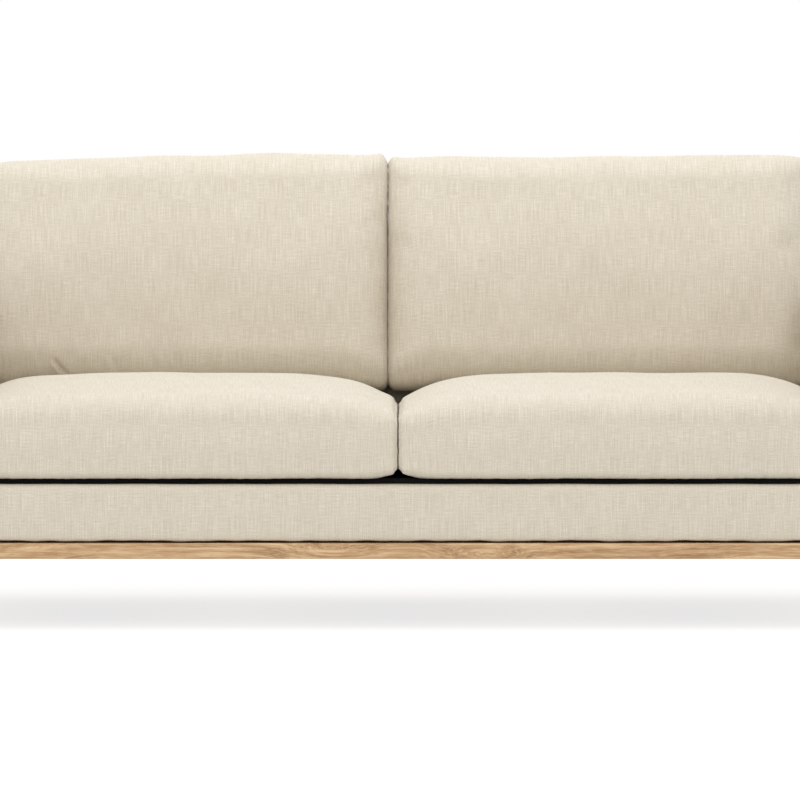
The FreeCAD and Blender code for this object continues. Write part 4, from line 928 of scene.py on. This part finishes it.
OAK = ("#9a7148", "#c19a6b", "#dcbf96")
oak = {axis: wood(f"lacquered_oak_{axis}", axis, *OAK, knots=KNOTS if axis == "x" else (), Roughness=0.46,
                  Coat_Weight=0.18, Coat_Roughness=0.35) for axis in AXES}
pine = {axis: wood(f"planed_pine_{axis}", axis, "#b98f5a", "#dcbc86", "#efdcb2", ring=14 * MM, pore_depth=0.15,
                   Roughness=0.7) for axis in AXES}
beech = {axis: wood(f"steamed_beech_{axis}", axis, "#a9754f", "#c79571", "#dbb494", ring=9 * MM, pore=0.7 * MM,
                    pore_depth=0.25, Roughness=0.6) for axis in AXES}
print("woods:", sorted(m.name for m in (*oak.values(), *pine.values(), *beech.values())))

# %% [markdown]
# ## The hidden materials
# Inside a sofa there is foam, felt, hardboard, webbing and steel, and it all shows when a cushion is lifted
# or the sofa is turned over. Most of these finishes are either grainy, like foam and hardboard, or woven,
# like webbing and black lining, or hard and smooth, like plated steel and moulded plastic. So three recipes
# make them all.

# %% Grainy, woven and hard recipes
CLOUD, FLUFF, RUBBED, SCRATCH_LENGTH = 60 * MM, 6 * MM, 18 * MM, 12 * MM


def grainy(name, dark, base, grain, depth=0.4 * MM, contrast=0.8, **shader_values):
    """Foam, felt, pressed board: fine grain over slow clouds."""
    made, tree, shader = material(name, **shader_values)
    place = add_node(tree, "ShaderNodeTexCoord", out="Object")
    fine, cloud = add_node(tree, NOISE, place, 1 / grain, 2.0, 0.6), add_node(tree, NOISE, place, 1 / CLOUD)
    mixed = add_node(tree, MATH, cloud, 0.25, operation="MULTIPLY")
    mixed = add_node(tree, MATH, fine, 0.75, mixed, operation="MULTIPLY_ADD")
    colour = shaded(tree, mixed, (0.35, 0.62), linear(dark), linear(base), contrast)
    surfaced(tree, shader, colour, mixed, depth)
    return made


def woven(name, dark, base, thread, depth=0.3 * MM, turn=(0, 0, 0), **shader_values):
    """Lining and webbing: two sets of threads that cross, read in the piece's own place."""
    made, tree, shader = material(name, **shader_values)
    place = add_node(tree, "ShaderNodeTexCoord", out="Object")
    lint = add_node(tree, MATH, add_node(tree, NOISE, place, 1 / FLUFF), 0.5, operation="MULTIPLY")
    threads = crossing(tree, place, thread, "MAXIMUM", turn)
    height = add_node(tree, MATH, threads, 0.7, lint, operation="MULTIPLY_ADD")
    surfaced(tree, shader, shaded(tree, height, (0.3, 1.1), linear(dark), linear(base)), height, depth)
    return made


def hard(name, base, worn, roughness, metal=0.0, scratch=1.2 * MM, **shader_values):
    """Plated metal and moulded plastic: an even colour, rubbed in places, with fine scratches."""
    made, tree, shader = material(name, Metallic=metal, **shader_values)
    place = add_node(tree, "ShaderNodeTexCoord", out="Object")
    rubbed = add_node(tree, NOISE, place, 1 / RUBBED, 3.0, 0.6)
    stretched = add_node(tree, MAPPING, place, Scale=(1 / scratch, 1 / scratch, 1 / SCRATCH_LENGTH))
    lines = add_node(tree, NOISE, stretched, 1.0)
    rough = add_node(tree, RANGE, lines, To_Min=roughness - 0.08, To_Max=roughness + 0.10)
    tree.links.new(rough, shader.inputs["Roughness"])
    colour = shaded(tree, rubbed, (0.45, 0.75), linear(base), linear(worn))
    surfaced(tree, shader, colour, lines, 0.05 * MM, 0.4)
    return made


finishes = {
    "hardboard": grainy("oil_tempered_hardboard", "#5d4430", "#86664a", 1.5 * MM, 0.1 * MM, Roughness=0.75),
    # The shadow-gap spacers are stained black, and the black is partly painted shade: it makes the thin gap
    # between the oak and the cover read dark.
    "black_spacer": grainy("black_beech_stain_and_painted_shade", "#0d0c0b", "#1c1a18", 1.2 * MM, 0.1 * MM, Roughness=0.7),
    "upholstery_foam": grainy("polyether_foam", "#cdb98c", "#ece0bd", 1.6 * MM, 0.5 * MM, Roughness=0.95),
    "cushion_foam": grainy("cold_cured_foam", "#d9cfb0", "#f4eedb", 1.6 * MM, 0.5 * MM, Roughness=0.95),
    "fibre_filling": grainy("polyester_fibre", "#e0ded8", "#fbfaf6", 3.0 * MM, 1.2 * MM, Roughness=0.98),
    "rebonded_foam": grainy("rebonded_foam", "#6f7d8c", "#d8cdb4", 9.0 * MM, 0.8 * MM, 1.0, Roughness=0.95),
    # The deck cloth is black, as many real ones are, and the black is partly painted shade: it darkens the gaps
    # under and behind the seat cushions.
    "black_deck_cloth": woven("black_drill_and_painted_shade", "#060606", "#161514", 1.6 * MM, Roughness=0.95),
    "black_dust_cloth": woven("black_nonwoven_lining", "#0b0b0b", "#232222", 3.0 * MM, turn=(0, 0, 0.78),
                              Roughness=0.9),
    "elastic_webbing": woven("elastic_webbing", "#2a2420", "#6b5d50", 3.2 * MM, Roughness=0.85),
    "zip_tape": woven("polyester_zip_tape", "#a79c86", "#d8cfbc", 1.2 * MM, 0.15 * MM, Roughness=0.85),
    "spring_steel": hard("oiled_spring_steel", "#4b4a48", "#6d6b68", 0.38, 1.0),
    "zinc_steel": hard("zinc_plated_steel", "#a5aab0", "#c6cacd", 0.32, 1.0),
    "brass_insert": hard("turned_brass", "#b48d4a", "#d0ac68", 0.3, 1.0),
    "zip_metal": hard("nickel_plated_zinc", "#8f8d88", "#b9b6b0", 0.28, 1.0),
    "spring_clip_plastic": hard("moulded_nylon_clip", "#17181a", "#26272a", 0.5),
    "nylon_glide": hard("moulded_nylon_glide", "#3a3733", "#4d4a45", 0.45),
}
WOODS = {"lacquered_oak": oak, "pine_timber": pine, "beech_tenon": beech}


def longest(node):
    """The axis along which a node is longest, as x, y or z: the way its grain runs."""
    low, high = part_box(node)
    return max(AXES, key=lambda axis: (high - low)[AXES[axis]])


slot_of = {part["node"]: part["material_slot"] for part in frame["record"]["subparts"]}
for node, slot_name in slot_of.items():
    finish = WOODS[slot_name][longest(node)] if slot_name in WOODS else finishes.get(slot_name, linen)
    nodes[node].data.materials.clear()
    nodes[node].data.materials.append(finish)
for word in ("left", "right"):
    nodes[f"arm_{word}_rails"].data.materials[0] = pine["y"]
    nodes[f"arm_{word}_posts"].data.materials[0] = pine["z"]
for body, (core, finish_name, node) in cores.items():
    belongs(core, body, finish_name, node, finish=finishes[finish_name])
for node, core in {"front_rail_foam": rail_core, **thin_cores}.items():
    belongs(core, "frame", "upholstery_foam", node, finish=finishes["upholstery_foam"])
print(len(slot_of), "nodes have a finish from", len(set(slot_of.values())), "slots")

# %% [markdown]
# ## Things that repeat
# Stitches, staples and zip teeth are one small thing many times over in a row. A Geometry Nodes tree does
# this well: it lays points along a line, puts a small block on each, and turns each one a little by a
# seeded random angle, because no machine sets a staple quite straight. The tree's inputs are the real sizes.
# Its result is baked to a plain mesh, because other programs don't know node trees.

# %% A row of small blocks
SOCKET_KINDS = {tuple: "NodeSocketVector", int: "NodeSocketInt", float: "NodeSocketFloat"}


def empty_tree(name, **inputs):
    """A node tree with these inputs. Returns it, their identifiers by name, and their sockets inside it."""
    tree = bpy.data.node_groups.new(name, "GeometryNodeTree")
    tree.interface.new_socket(name="Geometry", in_out="OUTPUT", socket_type="NodeSocketGeometry")
    identifiers = {}
    for key, value in inputs.items():
        socket = tree.interface.new_socket(name=key, in_out="INPUT", socket_type=SOCKET_KINDS[type(value)])
        socket.default_value = value
        identifiers[key] = socket.identifier
    return tree, identifiers, tree.nodes.new("NodeGroupInput").outputs


def repeated(tree, given, shape, finish, aside=(0, 0, 0), turned=(0, 0, 0)):
    """Puts copies of a shape on a line of points, and makes them the tree's result."""
    line = add_node(tree, "GeometryNodeMeshLine", given["Count"], given["Start"], given["Step"], mode="OFFSET")
    moved = add_node(tree, "GeometryNodeSetPosition", line, Offset=aside)
    copies = add_node(tree, "GeometryNodeInstanceOnPoints", moved, Instance=shape, Rotation=turned)
    real = add_node(tree, "GeometryNodeRealizeInstances", copies)
    painted = add_node(tree, "GeometryNodeSetMaterial", real, Material=finish)
    tree.links.new(painted, tree.nodes.new("NodeGroupOutput").inputs[0])


def row_tree(name, finish):
    """A node tree that lays blocks along a line. Returns it with the identifiers of its inputs."""
    tree, identifiers, given = empty_tree(
        name, Start=(0, 0, 0), Step=(0.01, 0, 0), Count=10, Block=(0.01, 0.001, 0.001), Zigzag=(0, 0, 0),
        Unevenness=0.0, Seed=1)
    block = add_node(tree, "GeometryNodeMeshCube", given["Block"])
    odd = add_node(tree, MATH, add_node(tree, "GeometryNodeInputIndex"), 2.0, operation="MODULO")
    side = add_node(tree, MATH, odd, 2.0, -1.0, operation="MULTIPLY_ADD")
    aside = add_node(tree, VECTOR, given["Zigzag"], side, operation="SCALE")
    wobble = add_node(tree, "FunctionNodeRandomValue", (-1, -1, -1), (1, 1, 1), Seed=given["Seed"],
                      data_type="FLOAT_VECTOR")
    turned = add_node(tree, VECTOR, wobble, given["Unevenness"], operation="SCALE")
    repeated(tree, given, block, finish, aside, turned)
    return tree, identifiers


def grown_by(tree_and_names, name, **values):
    """A plain mesh piece that a node tree has made with these input values."""
    tree, identifiers = tree_and_names
    piece = in_scene(name, bpy.data.meshes.new(name))
    growing = piece.modifiers.new("rows", "NODES")
    growing.node_group = tree
    for key, value in values.items():
        growing[identifiers[key]] = value
    return baked(piece)


def joined(name, pieces):
    """Several pieces in one mesh, under the first one's materials."""
    mesh = bmesh.new()
    for piece in pieces:
        mesh.from_mesh(piece.data)
    whole = finished(name, mesh)
    for finish in pieces[0].data.materials:
        whole.data.materials.append(finish)
    for piece in pieces:
        bpy.data.objects.remove(piece)
    return whole


print("one tree lays every row")

# %% [markdown]
# Staples hold the black lining underneath, one every 35 mm. The deck cloth under the seat cushions has a row
# of topstitches along its front edge, four millimetres long.

# %% Staples and topstitches
staple_tree = row_tree("staple row", finishes["zinc_steel"])
STAPLE, STAPLE_PITCH, STAPLE_INSET = (11 * MM, 1.2 * MM, 0.8 * MM), 35 * MM, 9 * MM
low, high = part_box("dust_cover")
width, depth = high.x - low.x - 2 * STAPLE_INSET, high.y - low.y - 2 * STAPLE_INSET
across, along = int(width / STAPLE_PITCH), int(depth / STAPLE_PITCH)
staple_z = low.z - STAPLE[2] / 4
side_staple = (STAPLE[1], STAPLE[0], STAPLE[2])
rows = []
for number, (x, y, step, count, block) in enumerate((
    (low.x + STAPLE_INSET, low.y + STAPLE_INSET, (STAPLE_PITCH, 0, 0), across, STAPLE),
    (low.x + STAPLE_INSET, high.y - STAPLE_INSET, (STAPLE_PITCH, 0, 0), across, STAPLE),
    (low.x + STAPLE_INSET, low.y + STAPLE_PITCH, (0, STAPLE_PITCH, 0), along, side_staple),
    (high.x - STAPLE_INSET, low.y + STAPLE_PITCH, (0, STAPLE_PITCH, 0), along, side_staple),
)):
    rows.append(grown_by(staple_tree, f"staple_row_{number}", Start=(x, y, staple_z), Step=step, Count=count,
                         Block=block, Unevenness=0.06, Seed=70 + number))
staples = belongs(joined("dust_cover_staples", rows), "frame", "zinc_steel")

thread = hard("polyester_sewing_thread", "#1d1c1b", "#343230", 0.7)
stitch_tree = row_tree("stitch row", thread)
low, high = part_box("seat_deck_cloth")
STITCH, STITCH_PITCH = (4 * MM, 0.9 * MM, 0.9 * MM), 5.5 * MM
stitches = grown_by(
    stitch_tree, "deck_topstitches", Start=(low.x + STITCH_PITCH, low.y + 6 * MM, high.z + STITCH[2] / 4),
    Step=(STITCH_PITCH, 0, 0), Count=int((high.x - low.x) / STITCH_PITCH) - 1, Block=STITCH, Unevenness=0.05,
    Seed=80)
belongs(stitches, "frame", "black_deck_cloth")
print("staples:", len(staples.data.polygons) // 6, " topstitches:", len(stitches.data.polygons) // 6)

# %% [markdown]
# ## Sheets of lining
# The deck cloth and the dust cover are single sheets of black lining stretched over the frame. A grid with
# slow, shallow waves is enough for each, because the cloth is stapled tight and only sags a little between
# the rails. Solidify gives it the thickness of the cloth.

# %% Deck cloth and dust cover
SHEET_THICKNESS, SHEET_CELL = 0.9 * MM, 20 * MM
FLAP_BEND = 1.5 * MM


def lining(name, node, level, sag, seed, slot_name, flap=0.0):
    """A stretched sheet over a node's length and width, its outer face at the level, sagging in the middle.
    With a flap it goes on down over the front edge."""
    low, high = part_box(node)
    columns, lines = round((high.x - low.x) / SHEET_CELL), round((high.y - low.y) / SHEET_CELL)
    xs, ys = np.linspace(low.x, high.x, columns + 1), np.linspace(low.y, high.y, lines + 1)
    x, y = np.meshgrid(xs, ys)
    edge = np.minimum(np.minimum(x - low.x, high.x - x), np.minimum(y - low.y, high.y - y))
    loose = np.clip(edge / 0.12, 0, 1)
    z = level + loose * (sag + 0.8 * MM * waves(x + 0.7 * y, (0.13, 0.31), seed))
    if flap:
        x, y, z = (np.concatenate([grid[:1], grid[:1], grid]) for grid in (x, y, z))
        z[0], z[1] = z[0] - flap, z[1] - FLAP_BEND
        y[2] += FLAP_BEND
        lines += 2
    mesh = bpy.data.meshes.new(name)
    row = columns + 1
    faces = [(r * row + c, r * row + c + 1, (r + 1) * row + c + 1, (r + 1) * row + c)
             for r in range(lines) for c in range(columns)]
    mesh.from_pydata(np.stack([x.ravel(), y.ravel(), z.ravel()], 1).tolist(), [], faces)
    for face in mesh.polygons:
        face.use_smooth = True
    piece = in_scene(name, mesh)
    wall = piece.modifiers.new("thickness", "SOLIDIFY")
    wall.thickness, wall.offset = SHEET_THICKNESS, -1
    baked(piece)
    belongs(piece, "frame", slot_name, node, finish=finishes[slot_name])


deck_top, dust_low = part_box("seat_deck_cloth")[1].z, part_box("dust_cover")[0].z
deck_flap = deck_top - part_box("seat_deck_cloth")[0].z
# The deck lining's black flap down the front edge is partly painted shade at the back of the gap under the seat
# cushions.
lining("deck_lining", "seat_deck_cloth", deck_top, -0.6 * MM, 91, "black_deck_cloth",
       deck_flap)
lining("dust_lining", "dust_cover", dust_low + SHEET_THICKNESS, -2.0 * MM, 92, "black_dust_cloth")

# %% [markdown]
# ## Sinuous springs
# Fourteen springs of 3.8 mm wire run from the front rail to the rear one, each bent into flat zigzag loops.
# Their shape follows a rule, so a node tree bends a straight line of points by a sine, rounds it off, and
# sweeps a circle along it. Points and circle stay coarse, because the springs are deep inside the sofa.

# %% Springs
SPRING_POINTS, WIRE_SIDES, SPRING_BENDS, SPRING_SQUARENESS = 150, 6, 24.0, 0.55


def spring_tree(finish):
    """A node tree that lays zigzag springs side by side. Returns it with the identifiers of its inputs."""
    tree, identifiers, given = empty_tree(
        "sinuous spring", Start=(0, 0, 0), Step=(0.1, 0, 0), Count=7, Length=0.6, Half_width=0.02,
        Radius=0.0019)
    line = add_node(tree, "GeometryNodeCurvePrimitiveLine", End=add_node(tree, COMBINE, Y=given["Length"]))
    fine = add_node(tree, "GeometryNodeResampleCurve", line, Count=SPRING_POINTS)
    share = add_node(tree, "GeometryNodeSplineParameter", out="Factor")
    turns = add_node(tree, MATH, share, SPRING_BENDS, operation="MULTIPLY")
    wave = add_node(tree, MATH, add_node(tree, MATH, turns, math.pi, operation="MULTIPLY"), operation="SINE")
    height = add_node(tree, MATH, wave, operation="ABSOLUTE")
    height = add_node(tree, MATH, height, SPRING_SQUARENESS, operation="POWER")
    square = add_node(tree, MATH, add_node(tree, MATH, wave, operation="SIGN"), height, operation="MULTIPLY")
    aside = add_node(tree, MATH, square, given["Half_width"], operation="MULTIPLY")
    bent = add_node(tree, "GeometryNodeSetPosition", fine, Offset=add_node(tree, COMBINE, aside))
    circle = add_node(tree, "GeometryNodeCurvePrimitiveCircle", Resolution=WIRE_SIDES, Radius=given["Radius"])
    repeated(tree, given, add_node(tree, "GeometryNodeCurveToMesh", bent, circle, Fill_Caps=True), finish)
    return tree, identifiers


def spring_places():
    """The middle of each spring across the seat, found from the gaps between their points."""
    xs = np.sort(np.array([v.co.x for v in nodes["seat_springs"].data.vertices]))
    edges = np.flatnonzero(np.diff(xs) > 5 * MM)
    starts, ends = np.concatenate([[0], edges + 1]), np.concatenate([edges, [len(xs) - 1]])
    return [(xs[a], xs[b]) for a, b in zip(starts, ends)]


low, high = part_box("seat_springs")
spans = spring_places()
springs = spring_tree(finishes["spring_steel"])
radius = (high.z - low.z) / 2
parts = []
halves = (spans[: len(spans) // 2], spans[len(spans) // 2 :])
for number, half in enumerate(halves):
    centres = [(a + b) / 2 for a, b in half]
    gap = (centres[-1] - centres[0]) / (len(centres) - 1)
    parts.append(grown_by(
        springs, f"spring_row_{number}", Start=(centres[0], low.y + radius, low.z + radius), Step=(gap, 0, 0),
        Count=len(centres), Length=high.y - low.y - 2 * radius,
        Half_width=(half[0][1] - half[0][0]) / 2 - radius, Radius=radius))
spring_piece = belongs(joined("sinuous_springs", parts), "frame", "spring_steel", "seat_springs")
print("springs:", len(spans), "with", len(spring_piece.data.polygons), "faces")

# %% [markdown]
# ## Zips
# Each cushion has a long zip low on its rear face, so that the cover can be taken off. It is a woven tape with
# a row of small teeth and one slider with a pull. The tape is a thin strip, the teeth are a row of blocks
# set to one side and the other in turn, and the slider is a small bevelled body with a flat pull, which
# rides on its own body so that it can run along the teeth.

# %% Zips and sliders
teeth_tree = row_tree("zip teeth", finishes["zip_metal"])
TOOTH, TOOTH_PITCH = (1.6 * MM, 1.2 * MM, 4.2 * MM), 2.6 * MM
SLIDER_HEIGHT, PULL_HALF, PULL_INSET = 12 * MM, 3.5 * MM, 0.4 * MM


def bevelled_block(mesh, low, high, bevel):
    """A box with softened edges, added to a bmesh."""
    made = bmesh.ops.create_cube(mesh, size=1.0)["verts"]
    for vertex in made:
        vertex.co = Vector([l + (c + 0.5) * (h - l) for c, l, h in zip(vertex.co, low, high)])
    edges = {edge for vertex in made for edge in vertex.link_edges}
    bmesh.ops.bevel(mesh, geom=list(edges), offset=bevel, segments=2, affect="EDGES", profile=0.6)


def mesh_piece(name, build, turn=None):
    """A piece from a function that fills a bmesh, turned back about the rear foot of the sofa if asked."""
    mesh = bmesh.new()
    build(mesh)
    if turn:
        for vertex in mesh.verts:
            vertex.co.y, vertex.co.z = leaning(vertex.co.y, vertex.co.z)
    bmesh.ops.recalc_face_normals(mesh, faces=mesh.faces)
    return finished(name, mesh)


for word in ("left", "right"):
    for kind in ("seat", "back"):
        body = f"{kind}_cushion_{word}"
        lean = kind == "back"
        box = upright_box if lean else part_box
        low, high = (Vector(corner) for corner in box(f"{body}_zip"))
        slider_low, slider_high = (Vector(corner) for corner in box(f"{body}_zip_slider"))
        middle, face = (low.z + high.z) / 2, high.y

        def tape(mesh):
            bevelled_block(mesh, low, (high.x, high.y - 0.8 * MM, high.z), 0.5 * MM)

        tape_piece = mesh_piece(f"{body}_zip_tape", tape, lean)
        belongs(tape_piece, body, "zip_tape", f"{body}_zip", finish=finishes["zip_tape"])
        start = (low.x + 2 * MM, face - 0.5 * MM, middle)
        count = int((high.x - low.x - 4 * MM) / TOOTH_PITCH)
        teeth = grown_by(teeth_tree, f"{body}_zip_teeth", Start=start, Step=(TOOTH_PITCH, 0, 0),
                         Count=count, Block=TOOTH, Zigzag=(0, 0, 0.7 * MM))
        if lean:
            places, _ = read(teeth)
            turned = np.array([leaning(y, z) for y, z in places[:, 1:]])
            write(teeth, np.column_stack([places[:, 0], turned]))
        belongs(teeth, body, "zip_metal")

        def slider(mesh):
            top = slider_high.z - SLIDER_HEIGHT
            bevelled_block(mesh, (slider_low.x, slider_low.y, top), slider_high, 0.8 * MM)
            centre = (slider_low.x + slider_high.x) / 2
            pull_low = (centre - PULL_HALF, slider_low.y + PULL_INSET, slider_low.z)
            pull_high = (centre + PULL_HALF, slider_high.y - PULL_INSET, top + 2 * MM)
            bevelled_block(mesh, pull_low, pull_high, 0.7 * MM)

        slider_piece = mesh_piece(f"{body}_slider", slider, lean)
        name = f"{body}_zip_slider"
        belongs(slider_piece, name, "zip_metal", name, finish=finishes["zip_metal"])
print("zips: 4, with", len(teeth.data.polygons) // 6, "teeth on the last one")
